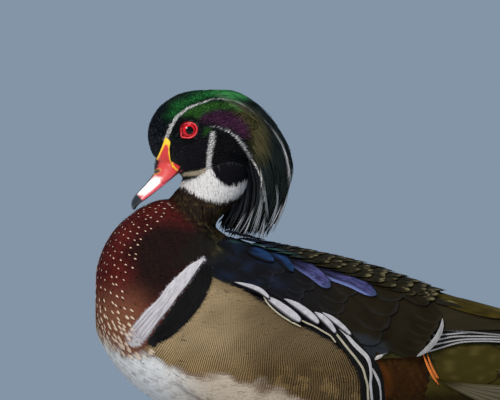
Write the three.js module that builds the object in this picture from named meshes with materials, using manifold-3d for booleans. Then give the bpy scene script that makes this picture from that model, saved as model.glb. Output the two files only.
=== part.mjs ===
// A drake wood duck, life size, standing with its head drawn back over its breast.
// Millimetres, +Z up. The bird faces -Y, and its left side faces +X.
import * as THREE from 'three';
import Module from 'manifold-3d';

const wasm = await Module();
wasm.setup();

const GAP = 0.3; // between neighbouring pieces
const MIDDLE_GAP = 0.25; // from the bird's middle plane to what lies beside it

// The trunk from the front of the breast to the root of the tail, in upright slices:
// y, top, bottom, level of the greatest width, half width.
const TRUNK = [
  [-91.5, 116, 116, 116, 0],
  [-90, 131, 101, 115, 21],
  [-85.5, 147.5, 87, 113, 32],
  [-77, 161, 74, 110, 39.5],
  [-65, 171, 62, 107, 44.5],
  [-50, 176.5, 52.5, 104, 47],
  [-34, 172, 45.5, 101, 48],
  [-16, 156, 41, 98, 47.5],
  [8, 145, 38.5, 95, 46.5],
  [36, 139, 39.5, 92, 45],
  [62, 133, 43, 90, 41.5],
  [86, 125, 47.5, 89, 35],
  [106, 117, 53, 88, 27.5],
  [120, 111.5, 58, 88, 20],
  [132, 105, 64.5, 87, 12.5],
  [140, 98, 72, 86, 6.5],
  [143.5, 86, 86, 86, 0],
];
const BREAST_END_Y = -36;
const TORSO_END_Y = 74;
const RUMP_END_Y = 126;

// The surface that the folded wings lie on: the trunk, carried on behind it to the wing tips.
const CARRIER = [
  [-60, 174, 58, 106, 45.5],
  [-34, 172, 45.5, 101, 48.2],
  [-16, 156.5, 41, 98, 47.8],
  [8, 145.3, 38.5, 95, 46.8],
  [36, 139.3, 39.5, 92, 45.3],
  [62, 133.5, 43, 90, 42],
  [86, 127, 50, 90, 36.5],
  [106, 121, 60, 91, 31],
  [130, 113.5, 70, 91, 25],
  [155, 106, 76, 89, 20],
  [180, 98, 78, 86, 15],
  [200, 92, 78, 83, 12],
];

// The neck in level slices: z, y of its middle, half depth, half width.
const NECK = [
  [138, -38, 19, 30],
  [152, -38.5, 19, 26],
  [161, -38.2, 18.9, 22.5],
  [168, -33, 20, 20],
  [176, -26.3, 21.7, 18.3],
  [184, -21.5, 21, 17.2],
  [194, -19.5, 19.5, 16],
  [204, -20, 13, 12],
];

// The head's own frame: its origin lies midway between the eyes, its -Y runs along the bill.
const HEAD_AT = new THREE.Vector3(0, -37.9, 215.5);
const HEAD_PITCH = THREE.MathUtils.degToRad(37);
const HEAD_YAW = THREE.MathUtils.degToRad(8);
const UP = new THREE.Vector3(0, 0, 1);

// The head in slices across the bill's line: y, top, bottom, level of the greatest width, half width.
const HEAD = [
  [-24.5, -4, -4, -4, 0],
  [-23, 4, -11, -4, 5.5],
  [-20, 11, -17, -4, 8.6],
  [-16, 15.6, -21, -4.5, 11.2],
  [-10, 19.2, -24.5, -5, 13.9],
  [-2, 21.3, -28.5, -6, 16],
  [7, 20.6, -33, -8, 17.3],
  [17, 16.6, -37, -11, 17.6],
  [26, 10, -38.5, -14, 16.6],
  [34, 1, -37.5, -18, 14],
  [40, -9, -34, -21, 9.5],
  [43, -21, -21, -21, 0],
];

// Both halves of the bill, in the head's frame: y, top, bottom, level of the greatest width, half width.
const UPPER_BILL = [
  [-12, 1, -15, -12, 7.4],
  [-16, 1.6, -15.4, -13, 8.9],
  [-20, -0.6, -15.8, -14, 9.1],
  [-24, -5, -16, -14.6, 8.3],
  [-30, -8.6, -16.2, -15.1, 7.6],
  [-38, -10.8, -16.3, -15.4, 7.5],
  [-45, -12, -16.4, -15.6, 7.5],
  [-49.5, -13.4, -17.6, -16.4, 5.6],
  [-52, -15.6, -18.8, -17.6, 3.2],
  [-53, -18, -18, -18, 0],
];
const LOWER_BILL = [
  [-12, -16, -20.6, -17, 6.6],
  [-20, -16.4, -20.4, -17.2, 7],
  [-30, -16.8, -19.4, -17.5, 6.4],
  [-40, -16.9, -18.9, -17.6, 6.2],
  [-46, -17, -18.6, -17.7, 5.6],
  [-49, -17.8, -17.8, -17.8, 0],
];

const EYE_RADIUS = 5.6;
const SOCKET_RADIUS = 6.35; // to the corners of its few faces
const EYE_OUT = 12.6; // from the middle plane to the middle of the eyeball
const LID_RADIUS = 4.9;
const LID_THICK = 0.75;
const NOSTRIL = { x: 5.2, y: -29.6, z: -8.6, long: 2.6, high: 1.1, deep: 2.4 };

// Paths of the crest's uppermost and lowest feathers in the middle plane: y, z.
const CREST_TOP = [[-25, 241], [-8, 239.6], [8, 229], [20.5, 213], [26.8, 194], [21, 170.5], [12, 152]];
const CREST_LOW = [[-19, 219], [-9, 209], [-2, 197], [2, 184], [0, 170], [-6, 161], [-10, 155]];
const CREST_HALF_WIDTH = [13, 15.5, 15, 13, 10.5, 8, 5.5];
const CREST_CORE_END = 0.5;
const CREST_CORE_DEPTH = 1.4;
// Tiers of plumes from the crown down: parts of the crest's length, half widths, heights at root and tip,
// and the angle that they reach round to.
const CREST_TIERS = [
  { count: 7, from: 0.42, to: 1, half: 4.8, heights: [-5, -1.8], spread: 2.6 },
  { count: 5, from: 0.3, to: 0.88, half: 5.4, heights: [-3, -0.5], spread: 2 },
  { count: 4, from: 0.1, to: 0.62, half: 5.6, heights: [-1, 0], spread: 1.4 },
];

// Wings, flanks and tail: angles are in degrees round the trunk, from its widest level up.
// y, lower edge of the fleshy part of the wing, upper edge.
const WING_EDGES = [
  [-30, 29, 54],
  [7, 30, 57],
  [29, 16, 56],
  [53, 0, 52],
  [72, -8, 46],
  [86, -4, 36],
];
// Tiers of wing feathers. The roots and the tips of each tier lie along two lines, from the lowest feather to
// the highest: y, angle.
const WING_TIERS = {
  secondaries: {
    count: 5,
    roots: [[48, 0], [58, 12], [66, 34]],
    tips: [[77, -15], [94, -14], [105, -3], [112, 16], [117, 36]],
    half: 9,
    heights: [0.8, 1.9],
    deep: 2,
  },
  tertials: {
    count: 3,
    roots: [[46, 32], [54, 46]],
    tips: [[112, 30], [128, 46], [143, 64]],
    half: 8.4,
    heights: [1.4, 3],
    deep: 2,
    pointed: true,
  },
  greaterCoverts: {
    count: 4,
    roots: [[14, 24], [32, 44]],
    tips: [[58, -3], [74, 10], [86, 36]],
    half: 9.4,
    heights: [1.4, 3],
    deep: 3.5,
  },
  medianCoverts: {
    count: 4,
    roots: [[-14, 32], [4, 48]],
    tips: [[29, 17], [48, 26], [58, 44]],
    half: 8.4,
    heights: [1.8, 3.4],
    deep: 3.5,
  },
};
// The thick root of the primaries: y, lower edge, upper edge.
const PRIMARY_CORE = [
  [76, -4, 40],
  [92, 0, 40],
  [116, 6, 38],
];
const PRIMARIES = 5;
const PRIMARY_ROOTS = [[78, 2], [90, 26]];
const PRIMARY_TIPS = [[186, 6], [170, 22], [150, 34]];
const PRIMARY_HALF = 6.2;
const VANE_PITCH = 1.1; // from one vane of a stack to the next
const MM_PER_DEGREE = 0.7; // round the trunk at the wings
const FLANK_EDGES = [
  [-46, -38, -12],
  [-34, -46, 8],
  [-20, -54, 23],
  [-6, -60, 26],
  [7, -63, 26],
  [29, -64, 12],
  [53, -62, -4],
  [70, -56, -24],
  [77, -50, -38],
];
const SCAPULAR_EDGES = [
  [-22, 64, 82],
  [8, 66, 88],
  [40, 66, 88],
  [62, 68, 88],
];
// The last tier is of pointed feathers.
const SCAPULAR_TIERS = [
  { count: 3, roots: [[-2, 62], [4, 83]], tips: [[36, 60], [46, 82]], half: 8, heights: [3, 5], deep: 2 },
  { count: 3, roots: [[26, 64], [32, 83]], tips: [[68, 60], [80, 82]], half: 8, heights: [3, 5], deep: 2 },
  { count: 3, roots: [[52, 68], [56, 83]], tips: [[98, 64], [112, 82]], half: 7, heights: [2.4, 4.6] },
];
const FLANK_ROW = {
  count: 7,
  roots: [[-17, 18], [6, 16], [32, -1], [55, -23]],
  tips: [[8, 21], [30, 7], [56, -10], [76, -35]],
  half: 4.6,
  heights: [2.4, 5.4],
  deep: 3,
};
const PAD_RIM = 0.8; // how thick the fleshy part of a wing or a flank is at its rim
const WING_THICK = 3;
const FLANK_THICK = 4.2;
const SCAPULAR_THICK = 2.8;

const TAIL_ROOT = new THREE.Vector3(0, 112, 109);
const TAIL_SLOPE = THREE.MathUtils.degToRad(-17.5);
const TAIL_LENGTH = 108;
const TAIL_HALF_WIDTHS = [17, 38]; // at the root and at the tip
const TAIL_ARCH = [26, 31]; // how far the outermost feathers hang below the middle ones there
const TAIL_PAIRS = 7;
const TAIL_CLOSE = 0.4; // how much closer together the feathers' roots lie than their tips
const TAIL_DEPTH = VANE_PITCH * TAIL_PAIRS + 1.4;
const TAIL_BLOCK = { from: 8, to: 27, reach: 0.6, low: -TAIL_DEPTH, high: 0.4 }; // holds the feathers' roots
const UPPER_COVERT_BLOCK = { from: 8, to: 30, reach: 0.5, low: 1.2, high: 5.2 };

// The outlines of feathers: parts of their length, with the parts of their half width there.
const FEATHER_THICK = 0.75;
const ROUNDED = [[0, 0.7], [0.45, 1], [0.85, 0.85], [1, 0.3]];
const POINTED = [[0, 0.8], [0.4, 1], [0.75, 0.75], [1, 0.1]];
const SQUARE = [[0, 0.35], [0.5, 0.9], [0.93, 1], [1, 0.6]];
const PRIMARY = [[0, 1], [0.4, 1], [0.78, 0.75], [1, 0.15]];
const PLUME = [[0, 0.9], [0.33, 1], [0.66, 0.95], [1, 0.12]];

const TAIL_FAN = {
  pairs: TAIL_PAIRS,
  from: 19,
  to: TAIL_LENGTH,
  spread: 0.88,
  half: 8.5,
  shape: SQUARE,
  height: 0,
  step: -VANE_PITCH,
};
const UPPER_COVERT_FAN = {
  pairs: 2,
  from: 19,
  to: 46,
  spread: 0.45,
  half: 7,
  shape: ROUNDED,
  height: 4.6,
  step: -VANE_PITCH,
};
const UNDER_COVERT_FAN = {
  pairs: 2,
  from: 22,
  to: 72,
  spread: 0.55,
  half: 8,
  shape: ROUNDED,
  height: -TAIL_DEPTH - 4,
  step: VANE_PITCH,
};

const LEG_X = 23;
const FOOT_Y = 13; // the joint between the shank and the toes
const SHANK_BACK = 17; // how far the ankle lies behind that joint
const ANKLE_Z = 37;
const FOOT_JOINT_Z = 5.5;
const SHANK_RADIUS = 2.3;
const TOE_LENGTHS = [34, 46, 42]; // inner, middle, outer
const TOE_SPREAD = [24, 0, -24];
const TOE_RADIUS = 1.9;
const HIND_TOE_LENGTH = 11;
const HIND_TOE_TURN = 168;
const HIND_TOE_RADIUS = 1.5;
const KNUCKLE_RADIUS = 3.4;
const KNUCKLE_Z = 3.2;
const WEB_THICK = 1.1;

const at = (x, y, z) => new THREE.Vector3(x, y, z);
const lerp = THREE.MathUtils.lerp;
const degrees = THREE.MathUtils.degToRad;
const SIDES = [
  ['left', 1],
  ['right', -1],
];

// Numbers from 0 to 1 that vary the feathers, the same at every run.
let seed = 7;
function random() {
  seed = (seed * 1103515245 + 12345) % 2147483648;
  return seed / 2147483648;
}

// A smooth curve through rows of numbers. The first of each row is the key, which only rises or only falls.
function through(rows) {
  const sign = rows[1][0] > rows[0][0] ? 1 : -1;
  const keys = rows.map((row) => row[0] * sign);
  const rise = (i, c) => (rows[i + 1][c] - rows[i][c]) / (keys[i + 1] - keys[i]);
  const last = rows.length - 1;
  const slope = (i, c) => {
    if (i === 0) return rise(0, c);
    if (i === last) return rise(last - 1, c);
    const before = rise(i - 1, c);
    const after = rise(i, c);
    return before * after > 0 ? (2 * before * after) / (before + after) : 0;
  };
  return (key) => {
    const k = THREE.MathUtils.clamp(key * sign, keys[0], keys[last]);
    let i = 0;
    while (i < last - 1 && keys[i + 1] < k) i++;
    const width = keys[i + 1] - keys[i];
    const t = (k - keys[i]) / width;
    const s = t * t * (3 - 2 * t);
    return rows[i].slice(1).map((value, column) => {
      const c = column + 1;
      const bend = width * t * (1 - t) * ((1 - t) * slope(i, c) - t * slope(i + 1, c));
      return lerp(value, rows[i + 1][c], s) + bend;
    });
  };
}

// A closed solid from its points and faces, turned so that its faces point out.
function solid(points, faces) {
  let volume = 0;
  for (const [a, b, c] of faces) {
    volume += points[a].dot(points[b].clone().cross(points[c]));
  }
  const turned = volume < 0 ? faces.map(([a, b, c]) => [a, c, b]) : faces;
  return new wasm.Manifold(
    new wasm.Mesh({
      numProp: 3,
      vertProperties: new Float32Array(points.flatMap((p) => p.toArray())),
      triVerts: new Uint32Array(turned.flat()),
    }),
  );
}

// A skin over rings of equally many points, closed at each end. A ring of one point is a pole.
function loft(rings) {
  const points = [];
  const faces = [];
  const starts = rings.map((ring) => {
    points.push(...ring);
    return points.length - ring.length;
  });
  for (let i = 0; i + 1 < rings.length; i++) {
    const [a, b] = [rings[i].length, rings[i + 1].length];
    const count = Math.max(a, b);
    for (let j = 0; j < count; j++) {
      const next = (j + 1) % count;
      const [a0, a1] = [starts[i] + (j % a), starts[i] + (next % a)];
      const [b0, b1] = [starts[i + 1] + (j % b), starts[i + 1] + (next % b)];
      if (a > 1) faces.push([a0, a1, b1]);
      if (b > 1) faces.push([a0, b1, b0]);
    }
  }
  const cap = (ring, start, turn) => {
    if (ring.length === 1) return;
    const middle = ring.reduce((sum, p) => sum.add(p), at(0, 0, 0)).divideScalar(ring.length);
    points.push(middle);
    for (let j = 0; j < ring.length; j++) {
      const pair = [start + j, start + ((j + 1) % ring.length)];
      if (turn) pair.reverse();
      faces.push([points.length - 1, pair[1], pair[0]]);
    }
  };
  cap(rings[0], starts[0], false);
  cap(rings[rings.length - 1], starts[rings.length - 1], true);
  return solid(points, faces);
}

// A closed plate between two grids of equally many points, its upper and its under face, row by row.
// Both faces are split into triangles alike.
function plate(upper, under) {
  const rows = upper.length;
  const columns = upper[0].length;
  const down = rows * columns;
  const name = (i, j) => i * columns + j;
  const faces = [];
  for (let i = 0; i + 1 < rows; i++) {
    for (let j = 0; j + 1 < columns; j++) {
      const [a, b, c, d] = [name(i, j), name(i + 1, j), name(i + 1, j + 1), name(i, j + 1)];
      faces.push([a, b, c], [a, c, d], [a + down, c + down, b + down], [a + down, d + down, c + down]);
    }
  }
  const rim = [];
  for (let j = 0; j + 1 < columns; j++) rim.push(name(0, j));
  for (let i = 0; i + 1 < rows; i++) rim.push(name(i, columns - 1));
  for (let j = columns - 1; j > 0; j--) rim.push(name(rows - 1, j));
  for (let i = rows - 1; i > 0; i--) rim.push(name(i, 0));
  rim.forEach((a, i) => {
    const b = rim[(i + 1) % rim.length];
    faces.push([a, b, b + down], [a, b + down, a + down]);
  });
  return solid([...upper.flat(), ...under.flat()], faces);
}

// A solid made from one of three.js's own closed geometries.
function fromGeometry(geometry, matrix = new THREE.Matrix4()) {
  const position = geometry.getAttribute('position');
  const index = geometry.index ? [...geometry.index.array] : [...Array(position.count).keys()];
  const seen = new Map();
  const points = [];
  const name = index.map((i) => {
    const p = new THREE.Vector3().fromBufferAttribute(position, i).applyMatrix4(matrix);
    const key = p.toArray().map((n) => Math.round(n * 1e4)).join();
    if (!seen.has(key)) seen.set(key, points.push(p) - 1);
    return seen.get(key);
  });
  const faces = [];
  for (let i = 0; i < name.length; i += 3) {
    const [a, b, c] = name.slice(i, i + 3);
    if (a !== b && b !== c && c !== a) faces.push([a, b, c]);
  }
  return solid(points, faces);
}

// The largest closed surface of a solid, which fills what fusing sealed and drops loose scraps.
function largest(made) {
  return made.decompose().sort((a, b) => b.volume() - a.volume())[0];
}

// An egg-shaped ring at key y from a table of slices, grown by lift.
function sliceRing(slices, y, columns, lift = 0) {
  const [top, bottom, wide, half] = slices(y);
  if (half < 0.01) return [at(0, y, wide)];
  return [...Array(columns).keys()].map((j) => {
    const angle = (2 * Math.PI * (j + 0.5)) / columns;
    const height = Math.sin(angle) > 0 ? top - wide : wide - bottom;
    return at((half + lift) * Math.cos(angle), y, wide + (height + lift) * Math.sin(angle));
  });
}

// Keys from one value to another, in steps that grow smaller towards a pole at either end.
function keysBetween(from, to, count, poleFirst, poleLast) {
  return [...Array(count + 1).keys()].map((i) => {
    let t = i / count;
    if (poleFirst && poleLast) t = (1 - Math.cos(Math.PI * t)) / 2;
    else if (poleFirst) t = 1 - Math.cos((Math.PI / 2) * t);
    else if (poleLast) t = Math.sin((Math.PI / 2) * t);
    return lerp(from, to, t);
  });
}

const trunkSlice = through(TRUNK);
const carrierSlice = through(CARRIER);
const headSlice = through(HEAD);
const neckSlice = through(NECK);

const TRUNK_COLUMNS = 24;
const TRUNK_STEPS = 26;
const TRUNK_FRONT_Y = TRUNK[0][0];
const TRUNK_REAR_Y = TRUNK[TRUNK.length - 1][0];

// The whole trunk, grown by lift.
function trunk(lift) {
  const keys = keysBetween(TRUNK_FRONT_Y, TRUNK_REAR_Y, TRUNK_STEPS, true, true);
  const rings = keys.map((y) => sliceRing(trunkSlice, y, TRUNK_COLUMNS, lift));
  rings[0][0].y -= lift;
  rings[TRUNK_STEPS][0].y += lift;
  return loft(rings);
}

// What lies between two upright planes across the bird.
function slab(fromY, toY) {
  const shape = new THREE.BoxGeometry(400, toY - fromY, 700);
  return fromGeometry(shape, new THREE.Matrix4().makeTranslation(0, (fromY + toY) / 2, 100));
}

// The head's frame as a matrix.
const headFrame = new THREE.Matrix4()
  .makeRotationFromEuler(new THREE.Euler(HEAD_PITCH, 0, HEAD_YAW, 'ZYX'))
  .setPosition(HEAD_AT);

// An egg-shaped solid from a table of slices in the head's frame.
function headSolid(rows, columns, count, poleFirst, poleLast, lift = 0) {
  const slices = through(rows);
  const keys = keysBetween(rows[0][0], rows[rows.length - 1][0], count, poleFirst, poleLast);
  const rings = keys.map((y) => sliceRing(slices, y, columns, lift));
  const outward = Math.sign(keys[0] - keys[count]) * lift;
  if (poleFirst) rings[0][0].y += outward;
  if (poleLast) rings[count][0].y -= outward;
  return loft(rings.map((ring) => ring.map((p) => p.applyMatrix4(headFrame))));
}

function inHead(x, y, z) {
  return new THREE.Matrix4().makeTranslation(x, y, z).premultiply(headFrame);
}

function eyeball(side, radius, around) {
  const shape = new THREE.SphereGeometry(radius, around, Math.round(0.75 * around)).rotateZ(Math.PI / 2);
  return fromGeometry(shape, inHead(side * EYE_OUT, 0, 0));
}

// The bare ring round the eye, standing a little out of the head.
function lid(side) {
  const out = Math.sqrt(EYE_RADIUS ** 2 - LID_RADIUS ** 2);
  const ring = new THREE.TorusGeometry(LID_RADIUS + LID_THICK / 2, LID_THICK, 4, 12).rotateY(Math.PI / 2);
  return fromGeometry(ring, inHead(side * (EYE_OUT + out + LID_THICK / 2), 0, 0));
}

function nostril(side) {
  const { x, y, z, long, high, deep } = NOSTRIL;
  const shape = new THREE.SphereGeometry(1, 8, 5).scale(deep, long, high);
  return fromGeometry(shape, inHead(side * x, y, z));
}

const upperBill = (lift) => headSolid(UPPER_BILL, 14, 12, false, true, lift);
const lowerBill = (lift) => headSolid(LOWER_BILL, 10, 8, false, true, lift);
const headLoft = (lift) => headSolid(HEAD, 20, 15, true, true, lift);

function neck(lift) {
  const keys = keysBetween(NECK[0][0], NECK[NECK.length - 1][0], 6);
  const rings = keys.map((z) => {
    const [y, depth, half] = neckSlice(z);
    return [...Array(20).keys()].map((j) => {
      const angle = (2 * Math.PI * j) / 20;
      return at((half + lift) * Math.cos(angle), y + (depth + lift) * Math.sin(angle), z);
    });
  });
  return loft(rings);
}

// The crest's outline in its middle plane, and its half widths.
const crestTop = new THREE.CatmullRomCurve3(CREST_TOP.map(([y, z]) => at(0, y, z)));
const crestLow = new THREE.CatmullRomCurve3(CREST_LOW.map(([y, z]) => at(0, y, z)));
const crestWidths = through(CREST_HALF_WIDTH.map((w, i) => [i / (CREST_HALF_WIDTH.length - 1), w]));

// A point of the crest's surface: s along it, an angle round it from its ridge to its left, raised by lift.
function onCrest(s, angle, lift) {
  const top = crestTop.getPoint(s);
  const low = crestLow.getPoint(s);
  const out = top.clone().sub(low).normalize();
  const [half] = crestWidths(s);
  const p = top.lerp(low, (1 - Math.cos(angle)) / 2).addScaledVector(out, lift * Math.cos(angle));
  return p.setX((half + lift) * Math.sin(angle)).sub(HEAD_AT).applyAxisAngle(UP, HEAD_YAW).add(HEAD_AT);
}

function crestCore() {
  const rings = keysBetween(0, CREST_CORE_END, 5).map((s) =>
    [...Array(10).keys()].map((j) => onCrest(s, (2 * Math.PI * j) / 10, -CREST_CORE_DEPTH)),
  );
  return loft(rings);
}

function crest() {
  const plumes = CREST_TIERS.flatMap(({ count, from, to, half, heights, spread }) =>
    [...Array(count).keys()].map((i) => {
      const place = (2 * i) / (count - 1) - 1;
      const angle = spread * place;
      const vary = random();
      const end = to - 0.07 * vary;
      const surface = (t, v, height) => {
        const s = lerp(from, end, t);
        const [width] = crestWidths(s);
        return onCrest(s, angle * (1 - 0.12 * t) + (v * half) / Math.max(width, 6), height);
      };
      const lift = (t) => lerp(...heights, t) - VANE_PITCH * (i % 2);
      return feather(surface, { shape: PLUME, lift });
    }),
  );
  return plumes.reduce((sum, plume) => sum.add(plume), crestCore());
}

// A point of the carrier at y and an angle round it, raised by lift.
function onCarrier(y, angle, lift, side) {
  const [top, bottom, wide, half] = carrierSlice(y);
  const height = angle > 0 ? top - wide : wide - bottom;
  const x = Math.max((half + lift) * Math.cos(angle), MIDDLE_GAP);
  return at(side * x, y, wide + (height + lift) * Math.sin(angle));
}

// A feather. The surface gives a point for t from root to tip, v from edge to edge, and a height. Lift is the
// height of the feather's upper face. The feather is as thick as it is deep at its root, down to a thin tip.
function feather(surface, { shape, lift, deep = FEATHER_THICK, columns = 1 }) {
  const row = ([t, w], under) => keysBetween(-w, w, columns).map((v) => surface(t, v, lift(t, v) - under));
  const last = shape.length - 1;
  return plate(
    shape.map((key) => row(key, 0)),
    shape.map((key, i) => row(key, i < last ? deep : FEATHER_THICK)),
  );
}

// A feather on the carrier from one y and angle to another, half as wide as half says, in millimetres.
function carriedFeather(side, from, to, half, form) {
  const surface = (t, v, height) => {
    const y = lerp(from[0], to[0], t);
    const [top, , wide, carrierHalf] = carrierSlice(y);
    const reach = half / Math.hypot(carrierHalf * 0.7, (top - wide) * 0.7);
    return onCarrier(y, degrees(lerp(from[1], to[1], t)) + v * reach, height, side);
  };
  return feather(surface, form);
}

// A plate that lies on the carrier between two edges, thinner at its rim.
function patch(edges, side, thick, count, columns, inner = -1.5) {
  const slices = through(edges);
  const keys = keysBetween(edges[0][0], edges[edges.length - 1][0], count);
  const round = (t) => Math.sqrt(1 - (2 * lerp(0.03, 0.97, t) - 1) ** 4);
  const row = (y, lift) => {
    const [low, high] = slices(y).map(degrees);
    return keysBetween(0, 1, columns).map((t) => onCarrier(y, lerp(low, high, t), lift(t), side));
  };
  return plate(
    keys.map((y, i) => row(y, (t) => PAD_RIM + (thick - PAD_RIM) * round(i / count) * round(t))),
    keys.map((y) => row(y, () => inner)),
  );
}

const body = trunk(0);

// Places along a line of named points, from its first to its last.
function spaced(line, count) {
  const curve = new THREE.CatmullRomCurve3(line.map(([y, angle]) => at(y, angle, 0)));
  return keysBetween(0, 1, count - 1).map((t) => {
    const p = curve.getPoint(t);
    return [p.x, p.y];
  });
}

// A tier of feathers on the carrier.
function tier(side, { count, roots, tips, half, heights, pointed, deep }) {
  const from = spaced(roots, count);
  const to = spaced(tips, count);
  const [first, last] = [to[0], to[count - 1]];
  const pitch = Math.hypot(last[0] - first[0], MM_PER_DEGREE * (last[1] - first[1])) / (count - 1);
  return from.map((start, i) => {
    const vary = 1.5 * (random() - 0.5);
    // The lower edge lies over the next feather down.
    const tilt = Math.min((VANE_PITCH * half) / pitch, 1);
    const lift = (t, v) => lerp(...heights, Math.sqrt(t)) - tilt * v;
    const end = [to[i][0] + vary, to[i][1]];
    return carriedFeather(side, start, end, half, { shape: pointed ? POINTED : ROUNDED, lift, deep });
  });
}

const joined = (pieces) => pieces.reduce((sum, piece) => sum.add(piece));

// The long feathers of the wing's tip, each a layer over the one below it.
function primaries(side) {
  const from = spaced(PRIMARY_ROOTS, PRIMARIES);
  const to = spaced(PRIMARY_TIPS, PRIMARIES);
  return from.map((start, i) => {
    const lift = () => -VANE_PITCH * (PRIMARIES - 1 - i) - 0.4;
    return carriedFeather(side, start, to[i], PRIMARY_HALF, { shape: PRIMARY, lift, columns: 2 });
  });
}

function wing(side) {
  const pad = patch(WING_EDGES, side, WING_THICK, 8, 3).add(patch(PRIMARY_CORE, side, 0.8, 3, 2, -6.4));
  const tiers = Object.values(WING_TIERS).flatMap((rows) => tier(side, rows));
  return joined([pad, ...primaries(side), ...tiers]);
}

function scapulars(side) {
  const pad = patch(SCAPULAR_EDGES, side, SCAPULAR_THICK, 6, 2);
  const last = SCAPULAR_TIERS.length - 1;
  const tiers = SCAPULAR_TIERS.flatMap((rows, i) => tier(side, { ...rows, pointed: i === last }));
  return joined([pad, ...tiers]);
}

function flank(side) {
  return joined([patch(FLANK_EDGES, side, FLANK_THICK, 8, 4), ...tier(side, FLANK_ROW)]);
}

const bodyRoom = trunk(GAP);
const neckRoom = neck(GAP);
const cutByBody = (made) => largest(made.subtract(bodyRoom).subtract(neckRoom));

// A point of the tail's surface: along from its root, v from -1 to 1 across it, raised by lift.
function onTail(along, v, lift) {
  const t = along / TAIL_LENGTH;
  const half = lerp(...TAIL_HALF_WIDTHS, t);
  const arch = lerp(...TAIL_ARCH, t) * Math.abs(v) ** 1.5;
  const [c, s] = [Math.cos(TAIL_SLOPE), Math.sin(TAIL_SLOPE)];
  return at(half * v, TAIL_ROOT.y + along * c - lift * s, TAIL_ROOT.z + along * s - arch + lift * c);
}

// A plate on the tail from one distance to another, between two heights over its surface.
function tailPlate({ from, to, reach, low, high }) {
  const across = keysBetween(-reach, reach, 8);
  const grid = (lift) => [from, to].map((along) => across.map((v) => onTail(along, v, lift)));
  return plate(grid(high), grid(low));
}

// Pairs of feathers that fan out over the tail from its middle. Each pair lies one step lower or higher than
// the one before it, and only the first pair crosses the middle plane.
function fan({ pairs, from, to, spread, half, shape, height, step }) {
  const vanes = [];
  for (let pair = 0; pair < pairs; pair++) {
    for (const [, side] of SIDES) {
      const place = (spread * (pair + 0.35)) / pairs;
      const layer = pair + (pair > 0 || side < 0 ? 1 : 0);
      const end = to * (1 - 0.12 * (pair / pairs) ** 2) - 2 * random();
      const surface = (t, v, lift) => {
        const along = lerp(from, end, t);
        const width = lerp(...TAIL_HALF_WIDTHS, along / TAIL_LENGTH);
        const across = place * lerp(TAIL_CLOSE, 1, t) + (v * half) / width;
        const least = pair > 0 ? 0.012 + 0.01 * (v + 1) : -1;
        return onTail(along, side * Math.max(across, least), lift);
      };
      vanes.push(feather(surface, { shape, lift: () => height + step * layer, columns: 2 }));
    }
  }
  return vanes;
}

const behindRump = slab(RUMP_END_Y + GAP / 2, 400);

// A fan of feathers whose roots are sunk in a block that starts at the rump's end.
const rooted = (block, vanes) => largest(joined([block.intersect(behindRump), ...fan(vanes)]));

// The coverts under the tail grow on the last of the trunk.
function underCoverts() {
  const above = { from: 0, to: 60, reach: 1.2, low: -TAIL_DEPTH - 3 * GAP, high: 60 };
  return rooted(body.subtract(tailPlate(above)), UNDER_COVERT_FAN);
}

function thigh(side) {
  const rows = [
    [64, 22, 15, 13],
    [52, 25, 12, 10],
    [44, 28, 8, 6.5],
    [ANKLE_Z + GAP + 1, FOOT_Y + SHANK_BACK, 4.4, 3.8],
  ];
  const rings = rows.map(([z, y, depth, half]) =>
    [...Array(10).keys()].map((j) => {
      const angle = (2 * Math.PI * j) / 10;
      return at(side * LEG_X + half * Math.cos(angle), y + depth * Math.sin(angle), z);
    }),
  );
  return loft(rings);
}

// A round limb along points, with a radius at each.
function limb(path, radii, columns, flat = 1) {
  const curve = new THREE.CatmullRomCurve3(path);
  const frames = curve.computeFrenetFrames(path.length - 1);
  const rings = path.map((p, i) =>
    [...Array(columns).keys()].map((j) => {
      const angle = (2 * Math.PI * j) / columns;
      return p
        .clone()
        .addScaledVector(frames.normals[i], radii[i] * Math.cos(angle))
        .addScaledVector(frames.binormals[i], flat * radii[i] * Math.sin(angle));
    }),
  );
  return loft(rings);
}

function shank(side) {
  const x = side * LEG_X;
  const ankle = at(x, FOOT_Y + SHANK_BACK, ANKLE_Z);
  const joint = at(x, FOOT_Y, FOOT_JOINT_Z);
  const between = (t) => ankle.clone().lerp(joint, t);
  const path = [between(0), between(0.1), between(0.25), between(0.75), between(0.9), between(1)];
  const r = SHANK_RADIUS;
  return limb(path, [r * 1.2, r * 1.45, r, r, r * 1.25, r * 1.2], 12);
}

// A toe that lies on the floor, flat underneath.
function toe(side, length, spread, radius) {
  const turn = degrees(spread) * side;
  const dir = at(Math.sin(turn), -Math.cos(turn), 0);
  const across = at(Math.cos(turn), Math.sin(turn), 0);
  const rings = [0, 0.45, 0.85, 0.93, 1].map((t, i) => {
    const r = radius * [1.1, 0.95, 0.75, 0.5, 0.18][i];
    const middle = at(side * LEG_X, FOOT_Y, 0).addScaledVector(dir, length * t);
    return [-1, -0.6, 0.6, 1, 0.6, -0.6].map((v, j) => {
      const high = [0.7, 1.8, 1.8, 0.7, 0, 0][j] * r;
      return middle.clone().addScaledVector(across, v * r).setZ(high);
    });
  });
  return loft(rings);
}

// The webs between the toes, a thin plate on the floor.
function web(side) {
  const tips = TOE_LENGTHS.map((length, i) => {
    const turn = degrees(TOE_SPREAD[i]) * side;
    return at(Math.sin(turn), -Math.cos(turn), 0).multiplyScalar(length * 0.86);
  });
  const rim = [at(0, 1.5, 0), tips[0], tips[0].clone().lerp(tips[1], 0.5).multiplyScalar(0.9)];
  rim.push(tips[1], tips[1].clone().lerp(tips[2], 0.5).multiplyScalar(0.9), tips[2]);
  const ring = (z) => rim.map((p) => at(side * LEG_X + p.x, FOOT_Y + p.y, z));
  return loft([ring(0), ring(WEB_THICK)]);
}

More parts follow.
